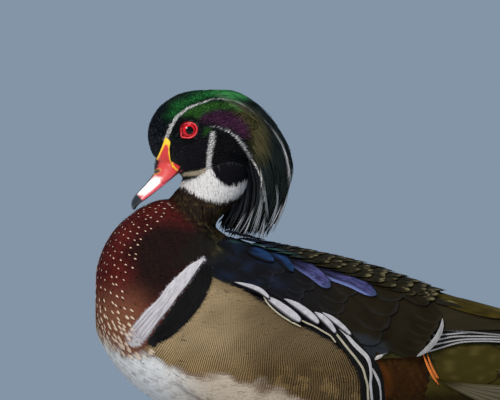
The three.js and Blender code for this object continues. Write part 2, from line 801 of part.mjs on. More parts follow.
// The joint where the toes meet the shank.
function knuckle(side, lift) {
  const shape = new THREE.SphereGeometry(KNUCKLE_RADIUS + lift, 8, 5);
  return fromGeometry(shape, new THREE.Matrix4().makeTranslation(side * LEG_X, FOOT_Y, KNUCKLE_Z));
}

function foot(side) {
  const toes = TOE_LENGTHS.map((length, i) => toe(side, length, TOE_SPREAD[i], TOE_RADIUS));
  const hind = toe(side, HIND_TOE_LENGTH, HIND_TOE_TURN, HIND_TOE_RADIUS);
  const below = new THREE.Matrix4().makeTranslation(0, 0, -20);
  const floor = fromGeometry(new THREE.BoxGeometry(400, 400, 40), below);
  return largest(joined([...toes, hind, web(side), knuckle(side, 0)]).subtract(floor));
}

const MATERIALS = {
  breast: { color: 0x4a1512, roughness: 0.75, metalness: 0 },
  torso: { color: 0x9a875c, roughness: 0.8, metalness: 0 },
  rump: { color: 0x2a1a14, roughness: 0.7, metalness: 0 },
  head: { color: 0x10281a, roughness: 0.5, metalness: 0.1 },
  neck: { color: 0x2a1410, roughness: 0.75, metalness: 0 },
  crest: { color: 0x0f2a20, roughness: 0.5, metalness: 0.1 },
  wing: { color: 0x1c1f2e, roughness: 0.5, metalness: 0.1 },
  flank: { color: 0xb09a68, roughness: 0.8, metalness: 0 },
  bill: { color: 0xc4384a, roughness: 0.35, metalness: 0 },
  eye: { color: 0xc01818, roughness: 0.05, metalness: 0 },
  tail: { color: 0x1d1c12, roughness: 0.6, metalness: 0.1 },
  leg: { color: 0xb98a3a, roughness: 0.6, metalness: 0 },
};

const duck = new THREE.Group();

// Adds a solid to the bird as one named mesh.
function add(name, made, material) {
  const { vertProperties, triVerts, numProp } = made.getMesh();
  const position = new Float32Array((vertProperties.length / numProp) * 3);
  for (let i = 0; i < position.length / 3; i++) {
    position.set(vertProperties.subarray(i * numProp, i * numProp + 3), i * 3);
  }
  const geometry = new THREE.BufferGeometry();
  geometry.setAttribute('position', new THREE.BufferAttribute(position, 3));
  geometry.setIndex(new THREE.BufferAttribute(new Uint32Array(triVerts), 1));
  geometry.computeVertexNormals();
  const mesh = new THREE.Mesh(geometry, new THREE.MeshStandardMaterial(MATERIALS[material]));
  mesh.name = name;
  duck.add(mesh);
}

const billRoom = upperBill(GAP).add(lowerBill(GAP));
const eyeRoom = eyeball(1, SOCKET_RADIUS, 10).add(eyeball(-1, SOCKET_RADIUS, 10));
const fullHead = headLoft(0).add(lid(1)).add(lid(-1));

add('breast', body.intersect(slab(-300, BREAST_END_Y - GAP / 2)), 'breast');
add('torso', body.intersect(slab(BREAST_END_Y + GAP / 2, TORSO_END_Y - GAP / 2)), 'torso');
add('rump', body.intersect(slab(TORSO_END_Y + GAP / 2, RUMP_END_Y - GAP / 2)), 'rump');
add('neck', largest(neck(0).subtract(bodyRoom).subtract(headLoft(GAP)).subtract(billRoom)), 'neck');
add('head', largest(fullHead.subtract(billRoom).subtract(eyeRoom)), 'head');
add('bill_upper', largest(upperBill(0).subtract(nostril(1)).subtract(nostril(-1))), 'bill');
add('bill_lower', lowerBill(0), 'bill');

const headRoom = headLoft(GAP).add(neckRoom).add(bodyRoom);
add('crest', largest(crest().subtract(headRoom)), 'crest');

for (const [name, side] of SIDES) {
  // Room for the flank in the wing, and for the wing's upper edge under the scapulars.
  const flankEdges = FLANK_EDGES.map(([y, low, high]) => [y, low - 1, high + 3]);
  const flankRoom = patch(flankEdges, side, FLANK_THICK + 4, 8, 3);
  const wingEdges = WING_EDGES.map(([y, , high]) => [y, high - 14, high + 3]);
  const wingRoom = patch(wingEdges, side, WING_THICK + 1.4, 6, 1);
  add(`eye_${name}`, eyeball(side, EYE_RADIUS, 12), 'eye');
  add(`wing_${name}`, cutByBody(wing(side).subtract(flankRoom)), 'wing');
  add(`scapulars_${name}`, cutByBody(scapulars(side).subtract(wingRoom)), 'wing');
  add(`flank_${name}`, cutByBody(flank(side)), 'flank');
  add(`thigh_${name}`, largest(thigh(side).subtract(bodyRoom).subtract(flankRoom)), 'torso');
  add(`shank_${name}`, largest(shank(side).subtract(knuckle(side, GAP))), 'leg');
  add(`foot_${name}`, foot(side), 'leg');
}

add('tail', rooted(tailPlate(TAIL_BLOCK), TAIL_FAN), 'tail');
add('tail_coverts_upper', rooted(tailPlate(UPPER_COVERT_BLOCK), UPPER_COVERT_FAN), 'tail');
add('tail_coverts_under', underCoverts(), 'tail');

// The origin lies on the floor under the middle of the bird's box.
const box = new THREE.Box3().setFromObject(duck);
const middle = box.getCenter(at(0, 0, 0));
duck.position.set(-middle.x, -middle.y, 0);

export default duck;
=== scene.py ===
import math

import bpy
import numpy as np
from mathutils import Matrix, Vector
from mathutils.bvhtree import BVHTree


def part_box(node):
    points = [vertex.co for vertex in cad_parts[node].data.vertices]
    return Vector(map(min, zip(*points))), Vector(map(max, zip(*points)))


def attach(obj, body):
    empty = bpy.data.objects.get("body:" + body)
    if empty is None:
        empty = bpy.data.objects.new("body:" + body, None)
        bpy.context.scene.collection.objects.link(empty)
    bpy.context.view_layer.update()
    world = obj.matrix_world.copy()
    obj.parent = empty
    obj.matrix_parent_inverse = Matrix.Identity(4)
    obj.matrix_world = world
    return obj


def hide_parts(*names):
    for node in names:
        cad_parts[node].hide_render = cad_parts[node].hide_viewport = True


# A drake wood duck, feather by feather. Shapes are worked out in millimetres in the bird's own frame:
# it faces -Y, its left side faces +X, and +Z is up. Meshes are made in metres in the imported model's frame.
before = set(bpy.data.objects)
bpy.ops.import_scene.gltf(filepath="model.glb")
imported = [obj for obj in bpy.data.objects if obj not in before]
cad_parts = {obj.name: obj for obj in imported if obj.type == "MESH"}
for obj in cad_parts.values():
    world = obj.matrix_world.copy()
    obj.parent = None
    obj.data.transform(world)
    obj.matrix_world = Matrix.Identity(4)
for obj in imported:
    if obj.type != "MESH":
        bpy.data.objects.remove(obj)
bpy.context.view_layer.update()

MM = 0.001
BREAST_FRONT_Y = -91.5
SHIFT_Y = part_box("breast")[0].y - BREAST_FRONT_Y * MM
SIDES = (("left", 1), ("right", -1))
random = np.random.default_rng(11)

# How deep the coat is over the skin.
BODY_COAT = 2.4
NECK_COAT = 2.0
HEAD_COAT = 1.1
CREST_COAT = 2.6
SKIN_VOXEL = 1.5
# Where the skin of the trunk ends, and how far down the crest there is skin.
SKIN_END_Y = 143
CREST_SKIN_PART = 0.52
TRIES_PER_PLACE = 5
BAKE_PATCH = 0.003

# How far apart the tufts stand, and the flank's fine dark lines.
HEAD_SPACING = 0.7
NECK_SPACING = 1.0
BODY_SPACING = 1.5
BAND_PERIOD = 1.45
# Tufts: lengths, half widths and heights over the skin, each from one end of the part to the other.
HEAD_TUFTS = ((1.7, 5.0), (0.27, 0.42), (0.7, 1.15))
NECK_TUFTS = (6, 0.52, (1.4, 1.0))
BODY_TUFTS = ((6.8, 5.6), (1.0, 0.9), 1.25)
SPOT_TUFTS = ((3.6, 7.4), (0.45, 1.15), 1.75)

# The photograph: columns and rows to millimetres.
PIXELS_PER_MM = 1.7
MIDDLE_COLUMN = 250
FLOOR_ROW = 497
PICTURE_CENTRE_Z = 174.7
PICTURE_WIDTH = 294
CAMERA_AWAY = 5.0
SENSOR = 36
# How far out most of the head's side lies.
HEAD_SIDE_X = 14

# The trunk from the front of the breast to the root of the tail, in upright slices:
# y, top, bottom, level of the greatest width, half width.
TRUNK = [
    [-91.5, 116, 116, 116, 0],
    [-90, 131, 101, 115, 21],
    [-85.5, 147.5, 87, 113, 32],
    [-77, 161, 74, 110, 39.5],
    [-65, 171, 62, 107, 44.5],
    [-50, 176.5, 52.5, 104, 47],
    [-34, 172, 45.5, 101, 48],
    [-16, 156, 41, 98, 47.5],
    [8, 145, 38.5, 95, 46.5],
    [36, 139, 39.5, 92, 45],
    [62, 133, 43, 90, 41.5],
    [86, 125, 47.5, 89, 35],
    [106, 117, 53, 88, 27.5],
    [120, 111.5, 58, 88, 20],
    [132, 105, 64.5, 87, 12.5],
    [140, 98, 72, 86, 6.5],
    [143.5, 86, 86, 86, 0],
]
# The surface that the folded wings lie on.
CARRIER = [
    [-60, 174, 58, 106, 45.5],
    [-34, 172, 45.5, 101, 48.2],
    [-16, 156.5, 41, 98, 47.8],
    [8, 145.3, 38.5, 95, 46.8],
    [36, 139.3, 39.5, 92, 45.3],
    [62, 133.5, 43, 90, 42],
    [86, 127, 50, 90, 36.5],
    [106, 121, 60, 91, 31],
    [130, 113.5, 70, 91, 25],
    [155, 106, 76, 89, 20],
    [180, 98, 78, 86, 15],
    [200, 92, 78, 83, 12],
]
# The neck in level slices: z, y of its middle, half depth, half width.
NECK = [
    [138, -38, 19, 30],
    [152, -38.5, 19, 26],
    [161, -38.2, 18.9, 22.5],
    [168, -33, 20, 20],
    [176, -26.3, 21.7, 18.3],
    [184, -21.5, 21, 17.2],
    [194, -19.5, 19.5, 16],
    [204, -20, 13, 12],
]
# A thigh in level slices, as the neck.
THIGH = [
    [38.3, 30, 4.4, 3.8],
    [44, 28, 8, 6.5],
    [52, 25, 12, 10],
    [70, 22, 16, 14],
]
# The head's own frame: its origin lies midway between the eyes, its -Y runs along the bill.
HEAD_AT = np.array([0, -37.9, 215.5])
HEAD_PITCH = math.radians(37)
HEAD_YAW = math.radians(8)
HEAD = [
    [-24.5, -4, -4, -4, 0],
    [-23, 4, -11, -4, 5.5],
    [-20, 11, -17, -4, 8.6],
    [-16, 15.6, -21, -4.5, 11.2],
    [-10, 19.2, -24.5, -5, 13.9],
    [-2, 21.3, -28.5, -6, 16],
    [7, 20.6, -33, -8, 17.3],
    [17, 16.6, -37, -11, 17.6],
    [26, 10, -38.5, -14, 16.6],
    [34, 1, -37.5, -18, 14],
    [40, -9, -34, -21, 9.5],
    [43, -21, -21, -21, 0],
]
UPPER_BILL = [
    [-12, 1, -15.4, -12, 5],
    [-16, 1.6, -15.9, -14.2, 7.6],
    [-20, -0.6, -16.3, -15.5, 8.9],
    [-24, -5, -17, -16.3, 8.3],
    [-30, -8.6, -17.6, -17, 7.6],
    [-38, -10.8, -17.7, -17.1, 7.5],
    [-45, -12, -17.6, -17, 7.5],
    [-49.5, -13.4, -18.1, -17, 5.6],
    [-52, -15.6, -18.9, -17.7, 3.2],
    [-53, -18, -18, -18, 0],
]
LOWER_BILL = [
    [-12, -15.6, -18.2, -17, 5.4],
    [-20, -15.8, -17.5, -16.8, 6.8],
    [-30, -16, -18, -16.9, 6.5],
    [-40, -16.2, -18.1, -17, 6.3],
    [-46, -16.4, -17.9, -17, 5.6],
    [-49, -17.2, -17.2, -17.2, 0],
]
EYE_RADIUS = 5.6
EYE_OUT = 12.6
PUPIL_EDGE = (2.5, 2.35)
IRIS_EDGE = (3.7, 4.1)
LID_HALVES = (4.65, 4.15)
LID_THICK = 0.46
LID_BROAD = 1.15
NOSTRIL_AT = np.array([5.2, -28.4, -8.8])

# Paths of the crest's uppermost and lowest feathers in the middle plane: y, z.
CREST_TOP = [[-25, 241], [-8, 239.6], [8, 229], [20.5, 213], [26.8, 194], [21, 170.5], [12, 152]]
CREST_LOW = [[-19, 219], [-9, 209], [-2, 197], [2, 184], [0, 170], [-6, 161], [-10, 155]]
CREST_HALF_WIDTH = [13, 15.5, 15, 13, 10.5, 8, 5.5]

# Flanks: angles are in degrees round the trunk, from its widest level up.
FLANK_EDGES = [
    [-46, -38, -12],
    [-34, -46, 8],
    [-20, -54, 23],
    [-6, -60, 26],
    [7, -63, 26],
    [29, -64, 12],
    [53, -62, -4],
    [70, -56, -24],
    [77, -50, -38],
]
WING_EDGES = [
    [-30, 29, 54],
    [7, 30, 57],
    [29, 16, 56],
    [53, 0, 52],
    [72, -8, 46],
    [86, -4, 36],
]
FLANK_THICK = 4.2

TAIL_ROOT = np.array([0, 112, 109])
TAIL_SLOPE = math.radians(-17.5)
TAIL_LENGTH = 108
TAIL_HALF_WIDTHS = (17, 38)
TAIL_ARCH = (26, 31)

# The level from which the vanes of body and head point outward.
MIDDLE_LINE_Z = 90

LEG_X = 23
FOOT_Y = 13
SHANK_BACK = 17
ANKLE_Z = 37
FOOT_JOINT_Z = 5.5
SHANK_RADIUS = 2.3
TOE_LENGTHS = (34, 46, 42)
TOE_SPREAD = (24, 0, -24)
TOE_RADIUS = 1.9

# Outlines of feathers: a part of the length with the part of the half width there.
TUFT = ((0, 0.5), (0.35, 0.95), (0.7, 1), (0.92, 0.62))
SLIM = ((0, 0.5), (0.4, 1), (0.78, 0.75))
SPOT_FORM = ((0, 0.4), (0.45, 0.85), (0.66, 0.8), (0.7, 0.78), (0.88, 0.6))
ROUNDED = (
    (0, 0.45), (0.15, 0.75), (0.35, 0.95), (0.6, 1), (0.78, 0.95), (0.88, 0.8), (0.95, 0.55), (0.985, 0.32),
    (1, 0.06),
)
POINTED = ((0, 0.5), (0.2, 0.85), (0.45, 1), (0.65, 0.9), (0.8, 0.65), (0.9, 0.4), (0.96, 0.22), (1, 0.03))
SQUARE = ((0, 0.35), (0.25, 0.6), (0.5, 0.85), (0.8, 1), (0.92, 1), (0.965, 0.86), (0.99, 0.6), (1, 0.3))
PLUME = ((0, 0.35), (0.12, 0.9), (0.35, 1), (0.6, 0.9), (0.8, 0.6), (0.93, 0.28), (1, 0.03))
LEAF = ((0, 0.1), (0.12, 0.5), (0.3, 0.85), (0.55, 1), (0.75, 0.9), (0.88, 0.65), (0.96, 0.36), (1, 0.06))
BAND = ((0, 0.15), (0.06, 0.6), (0.16, 1), (0.9, 1), (0.97, 0.7), (1, 0.1))
TAPERED = ((0, 0.1), (0.1, 0.75), (0.22, 1), (0.38, 0.95), (0.52, 0.62), (0.95, 0.55), (1, 0.1))
PRIMARY = ((0, 1), (0.5, 1), (0.75, 0.85), (0.9, 0.55), (0.97, 0.3), (1, 0.08))
SECONDARY = ((0, 0.6), (0.3, 0.9), (0.7, 1), (0.85, 0.95), (0.93, 0.75), (0.98, 0.45), (1, 0.1))
# Parts of the half width where a vane has points.
ACROSS = np.array([-1, -0.93, -0.8, -0.55, -0.3, -0.1, 0, 0.1, 0.3, 0.55, 0.8, 0.93, 1])
FEW_ACROSS = np.array([-1, -0.7, -0.3, 0, 0.3, 0.7, 1])
EDGED_ACROSS = np.array([-1, -0.92, -0.74, -0.7, -0.3, -0.06, 0, 0.06, 0.4, 0.8, 1])
BARRED_ACROSS = np.array([-1, -0.7, -0.34, -0.26, -0.06, 0, 0.06, 0.4, 0.8, 0.88, 1])
FIVE_ACROSS = np.array([-1, -0.5, 0, 0.5, 1])
THREE_ACROSS = np.array([-1, 0, 1])


# Curves and masks

def through(rows):
    """A smooth curve through rows of numbers. The first of each row is the key, which rises or falls."""
    table = np.array(rows, float)
    if table[0, 0] > table[-1, 0]:
        table = table[::-1]
    keys = table[:, 0]
    values = table[:, 1:]
    rises = np.diff(values, axis=0) / np.diff(keys)[:, None]
    slopes = np.zeros_like(values)
    slopes[0] = rises[0]
    slopes[-1] = rises[-1]
    product = rises[:-1] * rises[1:]
    total = np.where(product > 0, rises[:-1] + rises[1:], 1)
    slopes[1:-1] = np.where(product > 0, 2 * product / total, 0)

    def at(key):
        k = np.clip(np.asarray(key, float), keys[0], keys[-1])
        i = np.clip(np.searchsorted(keys, k, side="right") - 1, 0, len(keys) - 2)
        width = (keys[i + 1] - keys[i])[..., None]
        t = (k - keys[i])[..., None] / width
        s = t * t * (3 - 2 * t)
        bend = width * t * (1 - t) * ((1 - t) * slopes[i] - t * slopes[i + 1])
        return values[i] * (1 - s) + values[i + 1] * s + bend

    return at


def spline(points):
    """A Catmull-Rom curve through points, from 0 to 1."""
    p = np.array(points, float)
    p = np.vstack([2 * p[0] - p[1], p, 2 * p[-1] - p[-2]])
    count = len(p) - 3

    def at(s):
        x = np.clip(np.asarray(s, float), 0, 1) * count
        i = np.minimum(x.astype(int), count - 1)
        t = (x - i)[..., None]
        a, b, c, d = p[i], p[i + 1], p[i + 2], p[i + 3]
        squared = (2 * a - 5 * b + 4 * c - d) * t**2
        cubed = (3 * b - a - 3 * c + d) * t**3
        return 0.5 * (2 * b + (c - a) * t + squared + cubed)

    return at


def lerp(a, b, t):
    return a + (b - a) * t


def smooth(low, high, x):
    t = np.clip((x - low) / (high - low), 0, 1)
    return t * t * (3 - 2 * t)


def all_round(count):
    """Angles spaced evenly round a circle."""
    return 2 * np.pi * np.arange(count) / count


def xyz(x, y, z):
    """Points from three coordinates."""
    return np.stack(np.broadcast_arrays(x, y, z), -1)


def unit(v):
    return v / np.maximum(np.linalg.norm(v, axis=-1, keepdims=True), 1e-9)


def from_photo(points):
    """Places in an upright plane along the bird, y and z in millimetres, of points of the photograph."""
    p = np.array(points, float)
    return np.column_stack([(p[:, 0] - MIDDLE_COLUMN) / PIXELS_PER_MM, (FLOOR_ROW - p[:, 1]) / PIXELS_PER_MM])


def head_photo(points):
    """Places in the head's own middle plane of points of the photograph, with the head's turn undone."""
    p = from_photo(points)
    p[:, 0] = HEAD_AT[1] + (p[:, 0] - HEAD_AT[1] - HEAD_SIDE_X * math.sin(HEAD_YAW)) / math.cos(HEAD_YAW)
    return p


def along_line(q, line):
    """How far points lie from a line, and how far along it, from 0 to 1."""
    a = line[:-1]
    ab = line[1:] - a
    length = np.linalg.norm(ab, axis=1)
    start = np.concatenate([[0], np.cumsum(length)])
    t = np.clip(((q[:, None] - a) * ab).sum(-1) / (length**2), 0, 1)
    away = np.linalg.norm(q[:, None] - (a + t[..., None] * ab), axis=-1)
    best = away.argmin(1)
    row = np.arange(len(q))
    return away[row, best], (start[best] + t[row, best] * length[best]) / start[-1]


def stripe(q, line, widths, soft=0.35):
    """A mask of a stripe along a line, whose half widths are given evenly along it."""
    away, part = along_line(q, line)
    half = np.interp(part, np.linspace(0, 1, len(widths)), widths)
    return smooth(soft, -soft, away - half)


def patch_mask(q, outline, soft=0.6):
    """A mask of the inside of an outline."""
    closed = np.vstack([outline, outline[:1]])
    away = along_line(q, closed)[0]
    a = closed[:-1]
    b = closed[1:]
    crosses = (a[:, 1] > q[:, None, 1]) != (b[:, 1] > q[:, None, 1])
    rise = np.where(b[:, 1] == a[:, 1], 1e-9, b[:, 1] - a[:, 1])
    x = a[:, 0] + (q[:, None, 1] - a[:, 1]) * (b[:, 0] - a[:, 0]) / rise
    inside = (crosses & (q[:, None, 0] < x)).sum(1) % 2 == 1
    return smooth(-soft, soft, np.where(inside, away, -away))


def side_of(q, line):
    """How far points lie above a line that runs from low y to high y."""
    return q[:, 1] - np.interp(q[:, 0], line[:, 0], line[:, 1])


def ripple(p, scale, seed=1):
    """Smooth noise from -1 to 1 over places p, with features about scale across."""
    waves = np.random.default_rng(seed)
    total = np.zeros(len(p))
    for _ in range(7):
        way = waves.normal(size=p.shape[1])
        total += np.sin(p @ way * (2.6 / scale) + waves.uniform(0, 6.28))
    return total / 3.2


def all_over(colour, p):
    """One colour at each of places p."""
    return np.tile(np.array(colour), (len(p), 1))


def varied_by(colour, change):
    """A colour or colours made paler or darker by a share at each place."""
    return np.array(colour) * (1 + change)[:, None]


def mix(under, over, mask):
    """Colours under another colour through a mask."""
    return under + (np.asarray(over) - under) * mask[:, None]


# The head's frame

def head_matrix():
    c, s = math.cos(HEAD_PITCH), math.sin(HEAD_PITCH)
    pitch = np.array([[1, 0, 0], [0, c, -s], [0, s, c]])
    c, s = math.cos(HEAD_YAW), math.sin(HEAD_YAW)
    yaw = np.array([[c, -s, 0], [s, c, 0], [0, 0, 1]])
    return yaw @ pitch, yaw


HEAD_TURN, HEAD_TURN_YAW = head_matrix()


def out_of_head(p):
    return p @ HEAD_TURN.T + HEAD_AT


def into_head(p):
    return (p - HEAD_AT) @ HEAD_TURN


def turned(p):
    """Points turned to the left with the head."""
    return (p - HEAD_AT) @ HEAD_TURN_YAW.T + HEAD_AT


def unturned(p):
    """Points with the head's turn to the left undone."""
    return (p - HEAD_AT) @ HEAD_TURN_YAW + HEAD_AT


trunk_slice = through(TRUNK)
carrier_slice = through(CARRIER)
head_slice = through(HEAD)
crest_top = spline(CREST_TOP)
crest_low = spline(CREST_LOW)
crest_width = through([[i / (len(CREST_HALF_WIDTH) - 1), w] for i, w in enumerate(CREST_HALF_WIDTH)])


def egg(slices, y, angle, lift):
    """Points of egg-shaped slices at y and an angle, grown by lift."""
    top, bottom, wide, half = np.moveaxis(slices(y), -1, 0)
    height = np.where(np.sin(angle) > 0, top - wide, wide - bottom)
    x = np.maximum(half + lift, 0.05) * np.cos(angle)
    z = wide + np.maximum(height + lift, 0.05) * np.sin(angle)
    return xyz(x, y, z)


def on_carrier(y, angle, lift, side):
    """Points of the surface under the wings."""
    p = egg(carrier_slice, y, angle, lift)
    p[..., 0] = side * np.maximum(p[..., 0], 0.25)
    return p


def on_crest(s, angle, lift):
    """Points of the crest: s along it, an angle round it from its ridge to its left, raised by lift."""
    top = crest_top(s)
    low = crest_low(s)
    out = unit(top - low)
    half = crest_width(s)[..., 0]
    part = ((1 - np.cos(angle)) / 2)[..., None]
    yz = lerp(top, low, part) + out * (lift * np.cos(angle))[..., None]
    return turned(xyz((half + lift) * np.sin(angle), yz[..., 0], yz[..., 1]))


def on_tail(along, v, lift):
    """Points of the tail's surface: along from its root, v from -1 to 1 across it, raised by lift."""
    t = along / TAIL_LENGTH
    half = lerp(*TAIL_HALF_WIDTHS, t)
    arch = lerp(*TAIL_ARCH, t) * np.abs(v) ** 1.5
    c, s = math.cos(TAIL_SLOPE), math.sin(TAIL_SLOPE)
    y = TAIL_ROOT[1] + along * c - lift * s
    z = TAIL_ROOT[2] + along * s - arch + lift * c
    return xyz(half * v, y, z)


# Meshes

def place(points):
    """Millimetres in the bird's frame to metres in the model's."""
    return points * MM + np.array([0, SHIFT_Y, 0])


def make(name, points, faces, material, colours=None, maps=None, numbers=None, crisp=False):
    """A piece from points in millimetres and triangles. Crisp keeps the rims of flat feathers sharp."""
    mesh = bpy.data.meshes.new(name)
    faces = np.asarray(faces, np.int32)
    mesh.vertices.add(len(points))
    mesh.vertices.foreach_set("co", place(points).astype(np.float32).ravel())
    mesh.loops.add(faces.size)
    mesh.loops.foreach_set("vertex_index", faces.ravel())
    mesh.polygons.add(len(faces))
    mesh.polygons.foreach_set("loop_start", np.arange(0, faces.size, 3, dtype=np.int32))
    mesh.update(calc_edges=True)
    mesh.shade_smooth()
    if crisp:
        mesh.set_sharp_from_angle(angle=math.radians(55))
    if colours is not None:
        tint = mesh.color_attributes.new("Tint", "FLOAT_COLOR", "POINT")
        rgba = np.ones((len(points), 4), np.float32)
        rgba[:, :3] = np.clip(colours, 0, 1)
        tint.data.foreach_set("color", rgba.ravel())
    for title, places in (maps or {}).items():
        layer = mesh.uv_layers.new(name=title)
        layer.uv.foreach_set("vector", places[faces.ravel()].astype(np.float32).ravel())
    for title, values in (numbers or {}).items():
        layer = mesh.attributes.new(title, "FLOAT", "POINT")
        layer.data.foreach_set("value", values.astype(np.float32))
    mesh.materials.append(material)
    piece = bpy.data.objects.new(name, mesh)
    bpy.context.scene.collection.objects.link(piece)
    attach(piece, "root")
    return piece


def grid_faces(rows, columns, around=False, looped=False):
    """Triangles of a grid of points, which may close round its columns, and its rows into a loop."""
    i = np.arange(rows if looped else rows - 1)[:, None]
    j = np.arange(columns if around else columns - 1)[None]
    k = (j + 1) % columns
    n = (i + 1) % rows
    a, b = i * columns + j, i * columns + k
    c, d = n * columns + k, n * columns + j
    return np.concatenate([np.stack([a, b, c], -1).reshape(-1, 3), np.stack([a, c, d], -1).reshape(-1, 3)])


def loft(rings):
    """A closed skin over rings of equally many points."""
    rows, columns = rings.shape[:2]
    points = np.vstack([rings.reshape(-1, 3), rings[0].mean(0), rings[-1].mean(0)])
    faces = grid_faces(rows, columns, True)
    j = np.arange(columns)
    k = (j + 1) % columns
    first, last = rows * columns, rows * columns + 1
    start = np.stack([np.full(columns, first), k, j], -1)
    end = np.stack([np.full(columns, last), (rows - 1) * columns + j, (rows - 1) * columns + k], -1)
    faces = np.vstack([faces, start, end])
    corners = points[faces]
    if np.einsum("ij,ij->i", corners[:, 0], np.cross(corners[:, 1], corners[:, 2])).sum() < 0:
        faces = faces[:, ::-1]
    return points, faces


def together(shapes):
    """Points and faces of several shapes as one."""
    points = []
    faces = []
    start = 0
    for p, f in shapes:
        points.append(p)
        faces.append(f + start)
        start += len(p)
    return np.vstack(points), np.vstack(faces)


def cosine_keys(start, end, count):
    t = (1 - np.cos(np.pi * np.arange(count + 1) / count)) / 2
    return lerp(start, end, t)


def egg_loft(slices, start, end, lift, rows, columns):
    y = cosine_keys(start, end, rows)
    angle = all_round(columns)
    return loft(egg(slices, y[:, None], angle[None], lift))


# The skin under the coat

def patch_on_carrier(edges, side, thick, inner):
    """A pad on the carrier between two edges, thinner at its rim."""
    slices = through(edges)
    y = np.linspace(edges[0][0], edges[-1][0], 40)
    t = np.linspace(0, 1, 24)
    low, high = np.moveaxis(np.radians(slices(y)), -1, 0)
    angle = lerp(low[:, None], high[:, None], t[None])
    across = 1 - np.abs(2 * t - 1) ** 4
    along = 1 - np.abs(2 * np.linspace(0, 1, 40) - 1) ** 4
    rise = thick * np.sqrt(along[:, None] * across[None])
    upper = on_carrier(y[:, None], angle, rise, side)
    under = on_carrier(y[:, None], angle, np.full_like(rise, inner), side)
    rings = np.concatenate([upper, under[:, ::-1]], 1)
    return loft(rings)


def level_loft(table, z, columns, lift, x_middle=0):
    """A skin over level slices, each with the y of its middle, its half depth and its half width."""
    y, depth, half = np.moveaxis(through(table)(z), -1, 0)
    angle = all_round(columns)
    x = x_middle + (half[:, None] + lift) * np.cos(angle)
    deep = y[:, None] + (depth[:, None] + lift) * np.sin(angle)
    return loft(xyz(x, deep, z[:, None]))


def skin_shapes():
    first, last = HEAD[0][0] + HEAD_COAT, HEAD[-1][0] - HEAD_COAT
    head_points, head_faces = egg_loft(head_slice, first, last, -HEAD_COAT, 40, 48)
    s = np.linspace(0, CREST_SKIN_PART, 16)
    angle = all_round(28)
    crest = loft(on_crest(*np.broadcast_arrays(s[:, None], angle[None]), np.full((16, 28), -CREST_COAT - 1)))
    shapes = [
        egg_loft(trunk_slice, BREAST_FRONT_Y + BODY_COAT, SKIN_END_Y - BODY_COAT, -BODY_COAT, 70, 72),
        level_loft(NECK, np.linspace(NECK[0][0], NECK[-1][0], 30), 40, -NECK_COAT),
        (out_of_head(head_points), head_faces),
        crest,
    ]
    for _, side in SIDES:
        shapes.append(patch_on_carrier(FLANK_EDGES, side, FLANK_THICK - BODY_COAT + 0.3, -6))
        shapes.append(patch_on_carrier(WING_EDGES, side, 0.6, -6))
        lift = 0.9 - BODY_COAT
        z = np.linspace(THIGH[0][0] - lift, THIGH[-1][0], 16)
        shapes.append(level_loft(THIGH, z, 24, lift, side * LEG_X))
    return together(shapes)


def modified(points, faces, modifiers):
    """The shape after some of Blender's own modifiers, as points in millimetres and triangles."""
    mesh = bpy.data.meshes.new("working")
    mesh.from_pydata(points.tolist(), [], faces.tolist())
    work = bpy.data.objects.new("working", mesh)
    bpy.context.scene.collection.objects.link(work)
    for kind, settings in modifiers:
        added = work.modifiers.new(kind, kind)
        for key, value in settings.items():
            setattr(added, key, value)
    shaped = work.evaluated_get(bpy.context.evaluated_depsgraph_get()).to_mesh()
    shaped.calc_loop_triangles()
    out = np.zeros(len(shaped.vertices) * 3)
    shaped.vertices.foreach_get("co", out)
    triangles = np.zeros(len(shaped.loop_triangles) * 3, np.int32)
    shaped.loop_triangles.foreach_get("vertices", triangles)
    bpy.data.objects.remove(work)
    return out.reshape(-1, 3), triangles.reshape(-1, 3)


def vertex_normals(points, faces):
    corners = points[faces]
    normal = np.cross(corners[:, 1] - corners[:, 0], corners[:, 2] - corners[:, 0])
    total = np.zeros_like(points)
    for k in range(3):
        np.add.at(total, faces[:, k], normal)
    return unit(total)


skin_points, skin_faces = modified(
    *skin_shapes(),
    [
        ("REMESH", {"mode": "VOXEL", "voxel_size": SKIN_VOXEL}),
        ("SMOOTH", {"factor": 0.5, "iterations": 6}),
    ],
)
skin_normals = vertex_normals(skin_points, skin_faces)
skin_tree = BVHTree.FromPolygons(skin_points.tolist(), skin_faces.tolist())


def on_skin(points):
    """The nearest points of the skin and its outward directions there."""
    flat = points.reshape(-1, 3)
    found = [skin_tree.find_nearest(p) for p in flat.tolist()]
    near = np.array([hit[0] for hit in found])
    normal = np.array([hit[1] for hit in found])
    return near.reshape(points.shape), normal.reshape(points.shape)


def scatter(spacing, wanted):
    """Places spread evenly over the part of the skin where wanted says so, about spacing apart."""
    corners = skin_points[skin_faces]
    centre = corners.mean(1)
    kept = wanted(centre)
    corners = corners[kept]
    cross = np.cross(corners[:, 1] - corners[:, 0], corners[:, 2] - corners[:, 0])
    area = np.linalg.norm(cross, axis=1) / 2
    count = int(area.sum() / spacing**2 * TRIES_PER_PLACE)
    pick = random.choice(len(area), count, p=area / area.sum())
    u = np.sqrt(random.random(count))
    v = random.random(count)
    w = np.stack([1 - u, u * (1 - v), u * v], 1)
    places = (corners[pick] * w[..., None]).sum(1)
    normals = skin_normals[skin_faces[kept][pick]]
    normals = unit((normals * w[..., None]).sum(1))
    cells = {}
    chosen = []
    near = [(i, j, k) for i in (-1, 0, 1) for j in (-1, 0, 1) for k in (-1, 0, 1)]
    keys = np.floor(places / spacing).astype(int).tolist()
    listed = places.tolist()
    least = (0.86 * spacing) ** 2
    for n, (key, p) in enumerate(zip(keys, listed)):
        free = True
        for i, j, k in near:
            for q in cells.get((key[0] + i, key[1] + j, key[2] + k), ()):
                if (p[0] - q[0]) ** 2 + (p[1] - q[1]) ** 2 + (p[2] - q[2]) ** 2 < least:
                    free = False
                    break
            if not free:
                break
        if free:
            cells.setdefault(tuple(key), []).append(p)
            chosen.append(n)
    return places[chosen], normals[chosen]


